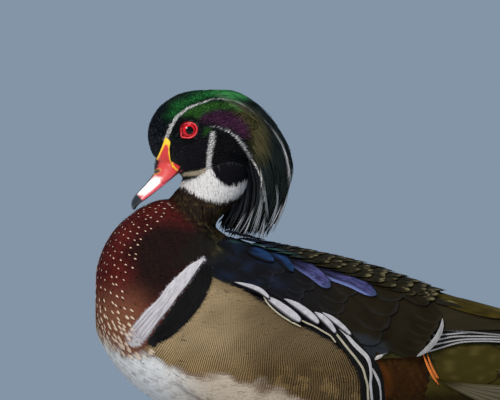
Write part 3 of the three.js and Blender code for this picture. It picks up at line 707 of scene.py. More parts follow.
# Tufts: small closed vanes that lie along the body

def unwrap(points, centre, sizes):
    """Places on a square map of the skin round a centre: an eight-sided body unfolded."""
    d = (points - centre) / sizes
    d = d / np.abs(d).sum(-1, keepdims=True)
    u, v = d[:, 0], d[:, 1]
    low = d[:, 2] < 0
    fold_u = (1 - np.abs(v)) * np.where(u < 0, -1, 1)
    fold_v = (1 - np.abs(u)) * np.where(v < 0, -1, 1)
    u, v = np.where(low, fold_u, u), np.where(low, fold_v, v)
    return np.column_stack([u, v]) * 0.49 + 0.5


def tufts(roots, normals, lie, length, half, rise, colour_of, bake,
          form=TUFT, base=-0.15, drift=0.35, thick=0.2):
    """Points, faces, colours and maps of many tufts, whose outline is the form."""
    count = len(roots)
    rings = len(form)
    parts = np.array([t for t, _ in form] + [1.0])
    widths = np.array([w for _, w in form])
    ahead = roots[:, None] + lie[:, None] * (length[:, None] * parts)[..., None]
    centre, up = on_skin(ahead)
    up = unit(up + normals[:, None])
    along = unit(np.gradient(centre, axis=1))
    side = unit(np.cross(along, up))
    lift = base + (rise[:, None] - base) * (parts**0.85)
    centre = centre + up * lift[..., None]
    deep = np.minimum(thick, 0.5 * half)
    reach = side[:, :rings] * (half[:, None] * widths)[..., None]
    crown = up[:, :rings] * (deep[:, None] * (0.4 + 0.6 * widths))[..., None]
    sink = up[:, :rings] * (deep[:, None] * 0.6)[..., None]
    middle = centre[:, :rings]
    sides = [middle - reach - 0.4 * sink, middle + crown, middle + reach - 0.4 * sink, middle - sink]
    ring = np.stack(sides, 2)
    points = np.concatenate([ring.reshape(count, rings * 4, 3), centre[:, rings:]], 1)

    where = centre + random.normal(0, drift, (count, 1, 3))
    part = np.broadcast_to(parts, (count, rings + 1)).ravel()
    colour = colour_of(where.reshape(-1, 3), part).reshape(count, rings + 1, 3)
    colours = np.concatenate([np.repeat(colour[:, :rings], 4, axis=1), colour[:, rings:]], 1)
    u = np.concatenate([np.tile([0, 0.5, 1, 0.5], rings), [0.5]])
    v = np.concatenate([np.repeat(parts[:rings], 4), [1.0]])
    vane = np.broadcast_to(np.column_stack([u, v]), (count, len(u), 2))
    baked = unwrap(roots, *bake)[:, None] + (vane - 0.5) * BAKE_PATCH

    faces = []
    for r in range(rings - 1):
        for j in range(4):
            a, b = r * 4 + j, r * 4 + (j + 1) % 4
            faces += [[a, b, b + 4], [a, b + 4, a + 4]]
    last = (rings - 1) * 4
    faces += [[last + j, last + (j + 1) % 4, last + 4] for j in range(4)]
    faces += [[0, 2, 1], [0, 3, 2]]
    each = rings * 4 + 1
    faces = (np.array(faces)[None] + each * np.arange(count)[:, None, None]).reshape(-1, 3)
    flat = points.reshape(-1, 3)
    corners = flat[faces[: len(faces) // count]] - flat[0]
    if np.einsum("ij,ij->i", corners[:, 0], np.cross(corners[:, 1], corners[:, 2])).sum() < 0:
        faces = faces[:, ::-1]
    return flat, faces, colours.reshape(-1, 3), vane.reshape(-1, 2), baked.reshape(-1, 2)


def along_skin(way, normals):
    """Directions made to lie along the skin."""
    return unit(way - normals * (way * normals).sum(1, keepdims=True))


def varied(count, amount):
    return 1 + amount * (2 * random.random(count) - 1)


# Vanes: larger feathers as closed grids

def beside(lines):
    """Directions at right angles to lines seen from the side."""
    ahead = unit(np.gradient(lines, axis=1))
    return np.stack([-ahead[..., 1], ahead[..., 0]], -1)


def from_middle(p):
    """Away from the bird's middle line."""
    return p * np.array([1, 0, 1]) - np.array([0, 0, MIDDLE_LINE_Z])


def shape_rows(form, count):
    """Parts of the length, closer together at the tip, and the widths there."""
    t = np.linspace(0, 1, count)
    t = 1 - (1 - t) ** 1.6
    return t, np.interp(t, [a for a, _ in form], [b for _, b in form])


def vanes(surface, count, form, thick, colour_of, rows=14, across=ACROSS):
    """Many feathers as closed grids. Surface gives points for feather, part of length and part across."""
    t, width = shape_rows(form, rows)
    feather = np.arange(count)[:, None, None]
    part = t[None, :, None]
    v = across[None, None, :] * width[None, :, None]
    upper = surface(feather, part, v)
    rib = np.maximum(0, 1 - np.abs(across) / 0.12)[None, None, :] * (1 - part)
    deep = thick * (0.35 + 0.65 * (1 - np.abs(across))[None, None, :]) + 0.3 * rib
    ahead = np.gradient(upper, axis=1)
    aside = np.gradient(upper, axis=2)
    up = unit(np.cross(aside, ahead))
    flip = np.sign((up[:, 0, len(across) // 2] * from_middle(upper[:, 0, len(across) // 2])).sum(-1))
    up = up * flip[:, None, None, None]
    upper = upper + up * (0.3 * rib)[..., None]
    under = upper - up * np.broadcast_to(deep, upper.shape[:3])[..., None]
    columns = len(across)
    each = rows * columns
    top = grid_faces(rows, columns)
    bottom = top[:, ::-1] + each
    grid = np.arange(each).reshape(rows, columns)
    rim = np.concatenate([grid[0, :-1], grid[:-1, -1], grid[-1, :0:-1], grid[:0:-1, 0]])
    after = np.roll(rim, -1)
    edge = [np.stack([rim, after + each, after], -1), np.stack([rim, rim + each, after + each], -1)]
    faces = np.vstack([top, bottom, *edge])
    faces = (faces[None] + 2 * each * np.arange(count)[:, None, None]).reshape(-1, 3)
    points = np.concatenate([upper.reshape(count, each, 3), under.reshape(count, each, 3)], 1)
    grid_t, grid_v = np.broadcast_arrays(part, across[None, None, :])
    grid_t = np.broadcast_to(grid_t, (count, rows, columns))
    grid_v = np.broadcast_to(grid_v, (count, rows, columns))
    who = np.broadcast_to(feather, (count, rows, columns))
    colour = colour_of(who.ravel(), grid_t.ravel(), grid_v.ravel(), upper.reshape(-1, 3))
    colour = colour.reshape(count, each, 3)
    colours = np.concatenate([colour, colour], 1)
    vane = np.stack([(grid_v + 1) / 2, grid_t], -1).reshape(count, each, 2)
    vane = np.concatenate([vane, vane], 1)
    cells = math.ceil(math.sqrt(count))
    corner = np.stack([np.arange(count) % cells, np.arange(count) // cells], -1) / cells
    baked = corner[:, None] + (0.06 + 0.88 * vane) / cells
    return points.reshape(-1, 3), faces, colours.reshape(-1, 3), vane.reshape(-1, 2), baked.reshape(-1, 2)


def joined(parts):
    """Several sets of points, faces, colours and maps as one, each in a cell of its own on the bake map."""
    points, faces = together([(part[0], part[1]) for part in parts])
    cells = math.ceil(math.sqrt(len(parts)))
    baked = [(part[4] + np.array([k % cells, k // cells])) / cells for k, part in enumerate(parts)]
    colours = np.vstack([part[2] for part in parts])
    vane = np.vstack([part[3] for part in parts])
    return points, faces, colours, vane, np.vstack(baked)


def make_coat(name, parts, material, replaced=(), numbers=None, crisp=True):
    points, faces, colours, vane, baked = parts
    maps = {"OFBake": baked, "Vane": vane}
    piece = make(name, points, faces, material, colours, maps, numbers, crisp)
    if replaced:
        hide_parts(*replaced)
    return piece


# Materials

def nodes_of(name):
    material = bpy.data.materials.new(name)
    material.use_nodes = True
    tree = material.node_tree
    return material, tree, tree.nodes["Principled BSDF"]


def link(tree, source, target):
    tree.links.new(source, target)


def number_node(tree, operation, a, b=None, clamp=False):
    node = tree.nodes.new("ShaderNodeMath")
    node.operation = operation
    node.use_clamp = clamp
    for socket, value in zip(node.inputs, (a, b)):
        if value is None:
            continue
        if isinstance(value, (int, float)):
            socket.default_value = value
        else:
            link(tree, value, socket)
    return node.outputs[0]


def attribute_node(tree, name):
    node = tree.nodes.new("ShaderNodeAttribute")
    node.attribute_name = name
    return node


def vane_nodes(tree):
    node = tree.nodes.new("ShaderNodeUVMap")
    node.uv_map = "Vane"
    split = tree.nodes.new("ShaderNodeSeparateXYZ")
    link(tree, node.outputs["UV"], split.inputs[0])
    return split.outputs[0], split.outputs[1]


def darkened(tree, colour, amount):
    """A colour multiplied by a number from nodes."""
    node = tree.nodes.new("ShaderNodeVectorMath")
    node.operation = "SCALE"
    link(tree, colour, node.inputs[0])
    link(tree, amount, node.inputs["Scale"])
    return node.outputs[0]


def noise_node(tree, scale, detail=2):
    node = tree.nodes.new("ShaderNodeTexNoise")
    node.inputs["Scale"].default_value = scale
    node.inputs["Detail"].default_value = detail
    places = tree.nodes.new("ShaderNodeTexCoord")
    link(tree, places.outputs["Object"], node.inputs["Vector"])
    return node.outputs[0]


def times_plus(tree, value, factor, added):
    """A number from nodes times a factor, plus another number."""
    result = number_node(tree, "MULTIPLY_ADD", value, factor)
    result.node.inputs[2].default_value = added
    return result


def bumped(tree, shader, height, strength, distance):
    bump = tree.nodes.new("ShaderNodeBump")
    bump.inputs["Strength"].default_value = strength
    bump.inputs["Distance"].default_value = distance
    link(tree, height, bump.inputs["Height"])
    link(tree, bump.outputs[0], shader.inputs["Normal"])


def tinted(tree, shader, shade):
    """The base colour is the piece's own tint, made darker or paler by a number from nodes."""
    tint = attribute_node(tree, "Tint").outputs["Color"]
    link(tree, darkened(tree, tint, shade), shader.inputs["Base Color"])


def set_inputs(shader, values):
    for name, value in values.items():
        shader.inputs[name].default_value = value


def banded(tree):
    """Fine dark lines across the flank, about 1 where there are none."""
    across = attribute_node(tree, "Across").outputs["Fac"]
    strength = attribute_node(tree, "Strength").outputs["Fac"]
    wobble = number_node(tree, "MULTIPLY", noise_node(tree, 190), 5.0)
    turns = number_node(tree, "MULTIPLY", across, 2 * math.pi / BAND_PERIOD)
    wave = number_node(tree, "SINE", number_node(tree, "ADD", turns, wobble))
    uneven = times_plus(tree, noise_node(tree, 110), 1.6, 0.2)
    change = number_node(tree, "MULTIPLY", number_node(tree, "MULTIPLY", wave, uneven), strength)
    return number_node(tree, "ADD", change, 1.0)


def feather_material(name, roughness, barbs, slant, depth, specular, shine=0.0, grain=0.16, bands=False):
    """Barbs slant from the shaft to the edges, over a tint that each feather brings."""
    material, tree, shader = nodes_of(name)
    u, v = vane_nodes(tree)
    from_shaft = number_node(tree, "ABSOLUTE", number_node(tree, "SUBTRACT", u, 0.5))
    rise = number_node(tree, "MULTIPLY", v, barbs)
    rows = number_node(tree, "SUBTRACT", rise, number_node(tree, "MULTIPLY", from_shaft, slant))
    wobble = number_node(tree, "MULTIPLY", noise_node(tree, 260), 2.2)
    wave = number_node(tree, "SINE", number_node(tree, "ADD", rows, wobble))
    shade = times_plus(tree, wave, grain, 1 - grain / 3)
    if bands:
        shade = number_node(tree, "MULTIPLY", shade, banded(tree))
    tinted(tree, shader, shade)
    bumped(tree, shader, wave, depth, 0.0004)
    link(tree, times_plus(tree, wave, 0.05, roughness), shader.inputs["Roughness"])
    set_inputs(shader, {"Metallic": shine, "Specular IOR Level": specular})
    return material


def mottled_material(name, scale, detail, contrast, least, depth, distance, settings, bands=False):
    """Fine mottling over a tint that the piece brings, from the least shade up."""
    material, tree, shader = nodes_of(name)
    mottle = noise_node(tree, scale, detail)
    shade = times_plus(tree, mottle, contrast, least)
    if bands:
        shade = number_node(tree, "MULTIPLY", shade, banded(tree))
    tinted(tree, shader, shade)
    bumped(tree, shader, mottle, depth, distance)
    set_inputs(shader, settings)
    return material


head_down = feather_material("head_down", 0.5, 9, 3, 0.15, 0.06, shine=0.12)
body_feather = feather_material("body_feather", 0.75, 60, 20, 0.1, 0.05, grain=0.05, bands=True)
neck_feather = feather_material("neck_feather", 0.8, 22, 8, 0.1, 0.015)
wing_feather = feather_material("wing_feather", 0.65, 150, 30, 0.1, 0.025, grain=0.05)
tail_feather = feather_material("tail_feather", 0.62, 220, 40, 0.12, 0.03, grain=0.08)
plume_feather = feather_material("plume_feather", 0.45, 160, 12, 0.25, 0.15, shine=0.1)
down_skin = mottled_material("skin_down", 900, 3, 0.5, 0.5, 0.5, 0.0005, {"Roughness": 0.85}, bands=True)


# Markings

BLACK = (0.0045, 0.0045, 0.006)
WHITE = (0.5, 0.49, 0.49)
BAR_WHITE = (0.38, 0.365, 0.39)
BAR_BLACK = (0.005, 0.005, 0.0055)
CREAM = (0.42, 0.36, 0.26)
CROWN_GREEN_HIGHLIGHT = (0.015, 0.15, 0.03)
CREST_GREEN = (0.004, 0.008, 0.0075)
LEAF_GREEN = (0.018, 0.07, 0.012)
OLIVE_GREEN = (0.06, 0.052, 0.018)
PURPLE = (0.062, 0.016, 0.048)
NECK_BROWN = (0.014, 0.009, 0.0065)
MAROON = (0.048, 0.0056, 0.005)
MAROON_DARK = (0.0075, 0.0026, 0.0024)
CHESTNUT = (0.15, 0.062, 0.034)
BELLY = (0.43, 0.36, 0.285)
BELLY_FRONT = (0.6, 0.61, 0.62)
FLANK_TAN = (0.2, 0.145, 0.08)
REAR_TAN_PAINTED_SHADE = (0.42, 0.41, 0.38)
LOW_TAN_SHARE = (0.86, 0.78, 0.64)
BACK_OLIVE = (0.05, 0.045, 0.02)
RUMP_DARK = (0.012, 0.013, 0.009)
RUMP_MAROON = (0.03, 0.0115, 0.002)
FOREHEAD_BLUE = (0.0025, 0.0045, 0.009)
FACE_DARK = (0.009, 0.009, 0.012)
GROUND_BLACK = (0.007, 0.007, 0.008)
BEFORE_WING_BROWN = (0.006, 0.0048, 0.004)
LOW_BUFF = (0.17, 0.11, 0.045)
SIDE_STREAK = (0.1, 0.09, 0.04)
SIDE_PALE = (0.1, 0.09, 0.065)
BELLY_BROWN = (0.13, 0.085, 0.04)
NECK_GOLD = (0.13, 0.095, 0.035)
OLIVE_PATCH = head_photo([
    (226, 103), (243, 106), (259, 116), (268, 134), (268, 158), (260, 162), (252, 148), (248, 134),
    (238, 118),
])

BROW = head_photo([
    (166.6, 140), (172, 126), (177, 117.6), (188, 108.5), (199, 104), (213, 99.4), (224, 99), (239, 103),
    (252, 110),
])
REAR_BROW = head_photo([(262, 118), (268.6, 124), (277, 134), (285, 146), (290, 164), (293, 182), (292, 195)])
BEHIND_EYE = head_photo([
    (209, 127), (216, 127), (224.7, 130), (236, 137), (246, 149.4), (257, 165.7), (263.5, 182), (266, 195),
    (265, 205),
])
SPUR = head_photo([(212, 134), (211.4, 142), (210, 152), (208.6, 163), (208, 174)])
JAW = head_photo([(183, 175.5), (190, 174), (198, 173), (207, 170)])
BIB = head_photo([
    (180, 185), (186, 181), (196, 178), (206, 172), (212, 171), (216, 178), (221, 184), (228, 186.5),
    (236, 186), (245, 182), (251.5, 181.5), (250, 187), (245, 193), (238, 198), (229, 201.5), (219, 203),
    (209, 201.5), (199, 197), (190, 191.5),
])
FACE_BLACK = head_photo([
    (174, 142), (180, 143), (190, 144), (202, 138), (209, 133), (211, 140), (207.5, 168), (196, 171.5),
    (184, 172.5), (176, 165), (173, 155),
])
CHEEK_BLACK = head_photo([
    (210, 131), (222, 131), (232, 136), (242, 146), (252, 161), (259, 176), (258, 190), (250, 184),
    (236, 187), (222, 185), (213, 174), (211, 150),
])
PURPLE_PATCH = head_photo([
    (198, 121), (206, 114.5), (218, 111.5), (230, 113), (240, 118), (247, 126), (250, 137), (245, 139),
    (237, 133), (228, 128), (216, 124), (206, 123),
])
GREEN_BAND = head_photo([
    (182, 116), (192, 108), (206, 103), (222, 102), (236, 105), (243, 112), (232, 110), (216, 110),
    (204, 114), (196, 122), (186, 122),
])
EYE_GREEN = head_photo([(204, 128), (211, 128), (211, 133), (206, 139), (201, 138)])
CROWN_HIGHLIGHT_PATCH = head_photo([
    (160, 118), (175, 104), (195, 95), (217, 88), (240, 90), (250, 98), (236, 101), (222, 97), (210, 98),
    (196, 103), (184, 109), (172, 120),
])
# The head's fine white lines, with their half widths evenly along them.
HEAD_LINES = (
    (BROW, (1.15, 1.05, 0.8, 0.5, 0.34, 0.2, 0.06, 0.0, -0.1)),
    (REAR_BROW, (-0.1, 0.0, 0.2, 0.4, 0.5, 0.45, 0.2)),
    (BEHIND_EYE, (0.0, 0.3, 0.5, 0.62, 0.66, 0.7, 0.68, 0.5, 0.3)),
)


def head_colours(p):
    """The head, the crest and the upper neck."""
    q = unturned(p)[:, 1:]
    grain = ripple(p, 1.6, 3)
    cloud = ripple(p, 9, 4)
    colour = varied_by(all_over(CREST_GREEN, p), 0.35 * cloud + 0.3 * grain)
    lower = smooth(192, 176, q[:, 1])
    colour = mix(colour, NECK_BROWN, lower * smooth(2, -8, q[:, 0] - 2))
    olive = patch_mask(q, OLIVE_PATCH, 4)
    colour = mix(colour, varied_by(OLIVE_GREEN, 0.5 * grain), 0.85 * olive)
    # The crown's own glossy green with a painted highlight: strongest on top, fading toward the front.
    crown = patch_mask(q, CROWN_HIGHLIGHT_PATCH, 3) * lerp(0.12, 1, smooth(-62, -44, q[:, 0]))
    crown = crown * lerp(0.55, 1, smooth(-0.6, 0.6, grain))
    colour = mix(colour, varied_by(CROWN_GREEN_HIGHLIGHT, 0.4 * grain + 0.3 * cloud), 0.85 * crown)
    front = smooth(-45, -56, q[:, 0]) * smooth(246, 234, q[:, 1])
    colour = mix(colour, FOREHEAD_BLUE, 0.9 * front)
    colour = mix(colour, varied_by(LEAF_GREEN, 0.5 * grain), patch_mask(q, GREEN_BAND, 1.5))
    purple = patch_mask(q, PURPLE_PATCH, 3) * lerp(0.7, 1, smooth(-0.5, 0.5, cloud))
    colour = mix(colour, varied_by(PURPLE, 0.5 * grain), purple)
    colour = mix(colour, LEAF_GREEN, 0.8 * patch_mask(q, EYE_GREEN, 1.5))
    colour = mix(colour, FACE_DARK, patch_mask(q, FACE_BLACK, 1))
    colour = mix(colour, BLACK, patch_mask(q, CHEEK_BLACK, 1))
    ring = np.linalg.norm(q - head_photo([(189, 130.7)]), axis=1)
    colour = mix(colour, BLACK, smooth(9.5, 7.5, ring) * 0.9)
    for line, widths in HEAD_LINES:
        colour = mix(colour, WHITE, stripe(q, line, widths, 0.3))
    colour = mix(colour, WHITE, patch_mask(q, BIB, 0.5))
    colour = mix(colour, CREAM, stripe(q, JAW, (0.9, 1.2, 1.3, 1.3)))
    colour = mix(colour, WHITE, stripe(q, SPUR, (1.3, 1.7, 1.5, 1.3, 1.5), 0.3))
    return np.clip(colour, 0.002, 1)


WHITE_BAR = from_photo([
    (203.5, 259), (194.5, 266.5), (187, 275), (180, 283), (172.5, 291.5), (164, 303), (153, 315),
    (143, 328), (136, 337),
])
WHITE_BAR_HALVES = (1.2, 2.3, 3.2, 3.8, 3.9, 4.0, 4.6, 5.2, 5.4)
BLACK_BAR = from_photo([
    (207.5, 264), (204, 277.5), (198, 290), (188.8, 303), (178.6, 316.4), (167, 329), (154, 340),
])
BLACK_BAR_HALVES = (3.0, 4.6, 5.6, 5.8, 5.3, 4.2, 2.6)
WING_LOWER_EDGE = from_photo([
    (206, 262), (222, 272), (232, 281), (262, 293), (286, 300), (321, 317), (348, 337),
])
DARK_SIDE = from_photo([
    (128, 240), (150, 216), (180, 210), (215, 214), (230, 262), (206, 262), (190, 277), (172, 292),
    (152, 303), (134, 285),
])
BEFORE_WING = from_photo([
    (176, 262), (190, 240), (206, 222), (232, 218), (262, 236), (262, 262), (226, 270), (200, 262),
])
BELLY_LINE = from_photo([
    (80, 300), (100, 335), (125, 350), (150, 358), (180, 366), (215, 374), (250, 381), (290, 393),
    (340, 410), (400, 424), (460, 410),
])
FLANK_FRONT = from_photo([
    (222, 262), (211, 278.5), (205.6, 289.4), (197.8, 301.7), (186.7, 316.1), (175.6, 328.3), (162, 337),
    (146, 348),
])
FLANK_REAR = from_photo([
    (236, 281), (266, 297), (300, 318), (333, 335), (349, 350), (359, 366), (364, 381), (366, 404),
    (360, 430),
])
NECK_LINE = from_photo([(120, 200), (165, 198), (178, 212), (196, 232), (222, 252), (260, 262)])
SIDE_MAROON = from_photo([(368, 352), (425, 352), (430, 400), (420, 430), (368, 430)])
RUST_EDGE = from_photo([(374, 363), (381, 374), (385, 392)])
RUMP_RUST = (0.12, 0.034, 0.006)
SIDE_OLIVE = (0.034, 0.026, 0.005)
OLIVE_SIDE = from_photo([(429, 352), (470, 345), (530, 344), (530, 430), (476, 402), (440, 382), (433, 366)])
PALE_SIDE_EDGE = from_photo([(438, 380.6), (456, 390), (476, 401)])
TAIL_STREAKS = np.array([[1, 0, 0], [0, 0.45, 0.8], [0, -0.25, 0.3]])
WING_GROUND = from_photo([
    (206, 262), (226, 248), (262, 240), (330, 256), (420, 290), (476, 306), (476, 336), (440, 342),
    (412, 354), (386, 351), (372, 358), (362, 348), (348, 335), (321, 314), (286, 297), (262, 292),
    (232, 281), (222, 272),
])


def flank_mask(p):
    """The tan flank, between the black bar and the flank's rear edge, above the belly."""
    q = p[:, 1:]
    front = np.interp(q[:, 1], FLANK_FRONT[::-1, 1], FLANK_FRONT[::-1, 0])
    rear = np.interp(q[:, 1], FLANK_REAR[::-1, 1], FLANK_REAR[::-1, 0])
    below = side_of(q, BELLY_LINE) + 2.5 * ripple(p, 14, 6)
    inside = smooth(-0.8, 0.8, q[:, 0] - front) * smooth(1.5, -0.5, q[:, 0] - rear)
    return inside * smooth(-4, 3, below) * smooth(132, 129, q[:, 1])


def body_colours(p):
    """The neck's foot, breast, belly, flanks, back and rump."""
    q = p[:, 1:]
    out = np.abs(p[:, 0])
    on_side = smooth(20, 26, out)
    grain = ripple(p, 2.2, 5)
    cloud = ripple(p, 14, 6)
    colour = varied_by(all_over(MAROON, p), 0.25 * cloud + 0.2 * grain)
    above = side_of(q, NECK_LINE)
    colour = mix(colour, varied_by(NECK_BROWN, 0.5 * grain), smooth(-5, 7, above))
    dark_side = patch_mask(q, DARK_SIDE, 9) * smooth(20, 32, out)
    colour = mix(colour, varied_by(MAROON_DARK, 0.3 * grain), dark_side)
    colour = mix(colour, BEFORE_WING_BROWN, patch_mask(q, BEFORE_WING, 5) * smooth(12, 20, out))
    low_front = smooth(132, 102, q[:, 1]) * smooth(-50, -72, q[:, 0])
    colour = mix(colour, CHESTNUT, 0.85 * low_front)
    back = smooth(-26, -8, q[:, 0]) * smooth(128, 140, q[:, 1] + 0.18 * q[:, 0])
    colour = mix(colour, varied_by(BACK_OLIVE, 0.7 * grain), back)
    flank = flank_mask(p)
    tan = varied_by(FLANK_TAN, 0.12 * cloud)
    # Painted shade: the tan darkens from the middle of the flank toward its rear.
    tan = tan * lerp(np.ones(3), np.array(REAR_TAN_PAINTED_SHADE), smooth(-25, 15, q[:, 0])[:, None])
    buff = smooth(80, 70, q[:, 1]) * smooth(0, 0.8, ripple(p, 5, 35))
    tan = mix(tan, tan * np.array(LOW_TAN_SHARE), smooth(95, 72, q[:, 1]))
    tan = mix(tan, LOW_BUFF, 0.6 * buff)
    colour = mix(colour, tan, flank)
    colour = mix(colour, GROUND_BLACK, patch_mask(q, WING_GROUND, 1.5) * smooth(14, 18, out))
    colour = mix(colour, GROUND_BLACK, stripe(q, WING_LOWER_EDGE, (1.2, 1.8, 1.8, 1.5), 0.8))
    rump = smooth(76, 84, q[:, 0])
    colour = mix(colour, varied_by(RUMP_DARK, 0.5 * grain), rump)
    maroon = patch_mask(q, SIDE_MAROON, 3)
    colour = mix(colour, varied_by(RUMP_MAROON, 0.3 * grain), maroon)
    colour = mix(colour, RUMP_RUST, 0.8 * stripe(q, RUST_EDGE, (3, 4, 3), 3))
    streak = smooth(0.1, 0.9, ripple(p @ TAIL_STREAKS, 2.0, 23))
    olive = mix(all_over(SIDE_OLIVE, p), SIDE_STREAK, 0.5 * streak)
    colour = mix(colour, olive, patch_mask(q, OLIVE_SIDE, 2))
    colour = mix(colour, SIDE_PALE, 0.8 * stripe(q, PALE_SIDE_EDGE, (0.6, 1.6, 2.2), 0.8))
    below = side_of(q, BELLY_LINE) + 2.5 * cloud
    belly = smooth(3, -4, below) * smooth(92, 80, q[:, 0])
    streak = smooth(0.2, 0.9, ripple(p * np.array([1, 0.35, 1]), 3.2, 8))
    pale = lerp(np.array(BELLY), np.array(BELLY_FRONT), smooth(-20, -60, q[:, 0])[:, None])
    brown = np.maximum(0.3 * streak, 0.8 * smooth(-7, 2, below) * smooth(-0.4, 0.7, ripple(p, 4, 36)))
    pale = mix(pale, BELLY_BROWN, brown)
    colour = mix(colour, pale, belly)
    colour = mix(colour, BLACK, stripe(q, FLANK_REAR, (1.5, 3.2, 3.4, 3.4, 3.2, 3, 3, 3, 3), 0.8) * on_side)
    black = stripe(q, BLACK_BAR, np.array(BLACK_BAR_HALVES) + 0.9, 0.6)
    colour = mix(colour, GROUND_BLACK, black * on_side)
    bar = stripe(q, WHITE_BAR, WHITE_BAR_HALVES, 0.7)
    frayed = bar * (1 - 0.6 * smooth(108, 94, q[:, 1]) * smooth(-0.2, 0.6, grain))
    colour = mix(colour, BAR_WHITE, frayed * on_side)
    return np.clip(colour, 0.002, 1)


def all_colours(p, part=None):
    """Head colours above the neck and body colours below it."""
    q = unturned(p)
    limit = np.interp(q[:, 1], (-80, -50, -37, -20, 0, 20), (176, 182, 178, 168, 160, 150))
    head_part = smooth(-2, 2, q[:, 2] - limit)
    return head_colours(p) * head_part[:, None] + body_colours(p) * (1 - head_part)[:, None]


# The coat over the skin

def inside_egg(local, table, grow):
    slices = through(table)
    top, bottom, wide, half = np.moveaxis(slices(local[:, 1]), -1, 0)
    height = np.where(local[:, 2] > wide, top - wide, wide - bottom)
    inside = (local[:, 0] / (half + grow)) ** 2 + ((local[:, 2] - wide) / (height + grow)) ** 2 < 1
    return inside & (local[:, 1] < table[0][0]) & (local[:, 1] > table[-1][0])


def eye_free(local):
    """Not under the eye or its lids."""
    y = local[:, 1]
    z = local[:, 2]
    far = np.hypot(0.9 * y, z)
    front = np.exp(-((np.arctan2(z + 0.4, -y)) / 0.35) ** 2)
    return (far > 5.0 + 1.2 * front) | (np.abs(local[:, 0]) < 8)


HEAD_CENTRE = out_of_head(np.array([0.0, 10, -8]))
HEAD_SIZES = np.array([17.0, 34, 30])
BODY_CENTRE = np.array([0.0, 15, 95])
BODY_SIZES = np.array([47.0, 118, 55])
NECK_CENTRE = np.array([0.0, -32, 170])
NECK_SIZES = np.array([22.0, 24, 25])


def head_zone(p):
    """True on the head, above where the neck's feathers start."""
    local = into_head(p)
    near = ((local[:, 1] - 9) / 36) ** 2 + ((local[:, 2] + 9) / 32) ** 2 + (local[:, 0] / 19) ** 2 < 1.02
    return near & (p[:, 2] > 178)


def neck_zone(p):
    limit = np.interp(p[:, 1], (-70, -58, -40, -20, 5), (186, 178, 164, 152, 146))
    return (~head_zone(p)) & (p[:, 2] > limit) & (p[:, 1] < 12)


def body_zone(p):
    return (~head_zone(p)) & (~neck_zone(p)) & (p[:, 2] > 34)


def head_lie(p, normals):
    """Feathers run back from the bill, down the cheeks and round the eyes."""
    local = into_head(p)
    way = np.zeros_like(p)
    way[:, 1] = 1
    way[:, 2] = -0.35 * smooth(-5, -25, local[:, 2]) - 0.5 * smooth(14, 34, local[:, 1])
    way[:, 2] += 0.5 * smooth(-12, -22, local[:, 1]) * smooth(-6, 6, local[:, 2])
    far = np.maximum(np.hypot(local[:, 1], local[:, 2]), 3)
    push = smooth(14, 6, far) * (np.abs(local[:, 0]) > 6)
    way[:, 1] += push * local[:, 1] / far * 0.6
    way[:, 2] += push * local[:, 2] / far * 0.9
    return along_skin(unit(way @ HEAD_TURN.T), normals)


def neck_lie(p, normals):
    way = np.zeros_like(p)
    way[:, 2] = -1
    way[:, 1] = 0.35
    way[:, 0] = 0.25 * np.sign(p[:, 0])
    return along_skin(unit(way), normals)


def body_lie(p, normals):
    way = np.zeros_like(p)
    way[:, 1] = 1
    way[:, 2] = -0.32 * smooth(60, -60, p[:, 1]) - 0.5 * smooth(-45, -85, p[:, 1])
    way[:, 2] -= 0.7 * smooth(140, 172, p[:, 2])
    way[:, 0] = 0.25 * np.sign(p[:, 0]) * smooth(110, 170, p[:, 2]) * smooth(0, 20, np.abs(p[:, 0]))
    return along_skin(unit(way), normals)


def head_coat():
    def wanted(p):
        local = into_head(p)
        bill = inside_egg(local, UPPER_BILL, 0.3) | inside_egg(local, LOWER_BILL, 0.3)
        bare = patch_mask(local[:, 1:], BARE_LOBE, 0.1) > 0.5
        return head_zone(p) & ~bill & ~bare & eye_free(local)

    roots, normals = scatter(HEAD_SPACING, wanted)
    local = into_head(roots)
    far = smooth(-22, 22, local[:, 1])
    lengths, halves, rises = HEAD_TUFTS
    length = lerp(*lengths, far) * varied(len(roots), 0.2)
    half = lerp(*halves, far) * varied(len(roots), 0.15)
    rise = lerp(*rises, far) * varied(len(roots), 0.15)
    lie = head_lie(roots, normals)
    lie = along_skin(unit(lie + random.normal(0, 0.07, lie.shape)), normals)
    for name, side in SIDES:
        own = local[:, 0] * side > 0
        parts = tufts(roots[own], normals[own], lie[own], length[own], half[own], rise[own], all_colours,
                      (HEAD_CENTRE, HEAD_SIZES), form=SLIM, drift=0.12, thick=0.12)
        make_coat(f"head_feathers_{name}", parts, head_down, crisp=False)


def neck_colours(p, part):
    """Dark neck feathers, some with a gold tip low in front."""
    colour = all_colours(p)
    gold = smooth(0.3, 0.9, ripple(p, 3.4, 17)) * smooth(0.6, 0.95, part)
    low = smooth(182, 170, p[:, 2]) * smooth(-2, -14, p[:, 1])
    return mix(colour, NECK_GOLD, 0.45 * gold * low)


def neck_coat():
    roots, normals = scatter(NECK_SPACING, neck_zone)
    long, wide, rises = NECK_TUFTS
    length = long * varied(len(roots), 0.2)
    half = wide * varied(len(roots), 0.2)
    rise = lerp(*rises, smooth(168, 180, roots[:, 2])) * varied(len(roots), 0.15)
    lie = neck_lie(roots, normals)
    lie = along_skin(unit(lie + random.normal(0, 0.1, lie.shape)), normals)
    parts = tufts(roots, normals, lie, length, half, rise, neck_colours, (NECK_CENTRE, NECK_SIZES),
                  form=SLIM, base=0.1, thick=0.12)
    make_coat("neck_feathers", parts, neck_feather)


SPOT_HIGH = (0.46, 0.33, 0.24)
SPOT_LOW = (0.55, 0.44, 0.34)
HIDDEN_BY_WING = from_photo([
    (214, 262), (232, 252), (262, 246), (330, 262), (420, 296), (470, 312), (470, 330), (440, 340),
    (410, 350), (384, 343), (350, 328), (321, 310), (286, 293), (262, 289), (232, 277),
])


def under_wing(p):
    """Where the folded wings hide the skin."""
    q = p[:, 1:]
    return (patch_mask(q, HIDDEN_BY_WING, 0.1) > 0.5) & (np.abs(p[:, 0]) > 12)


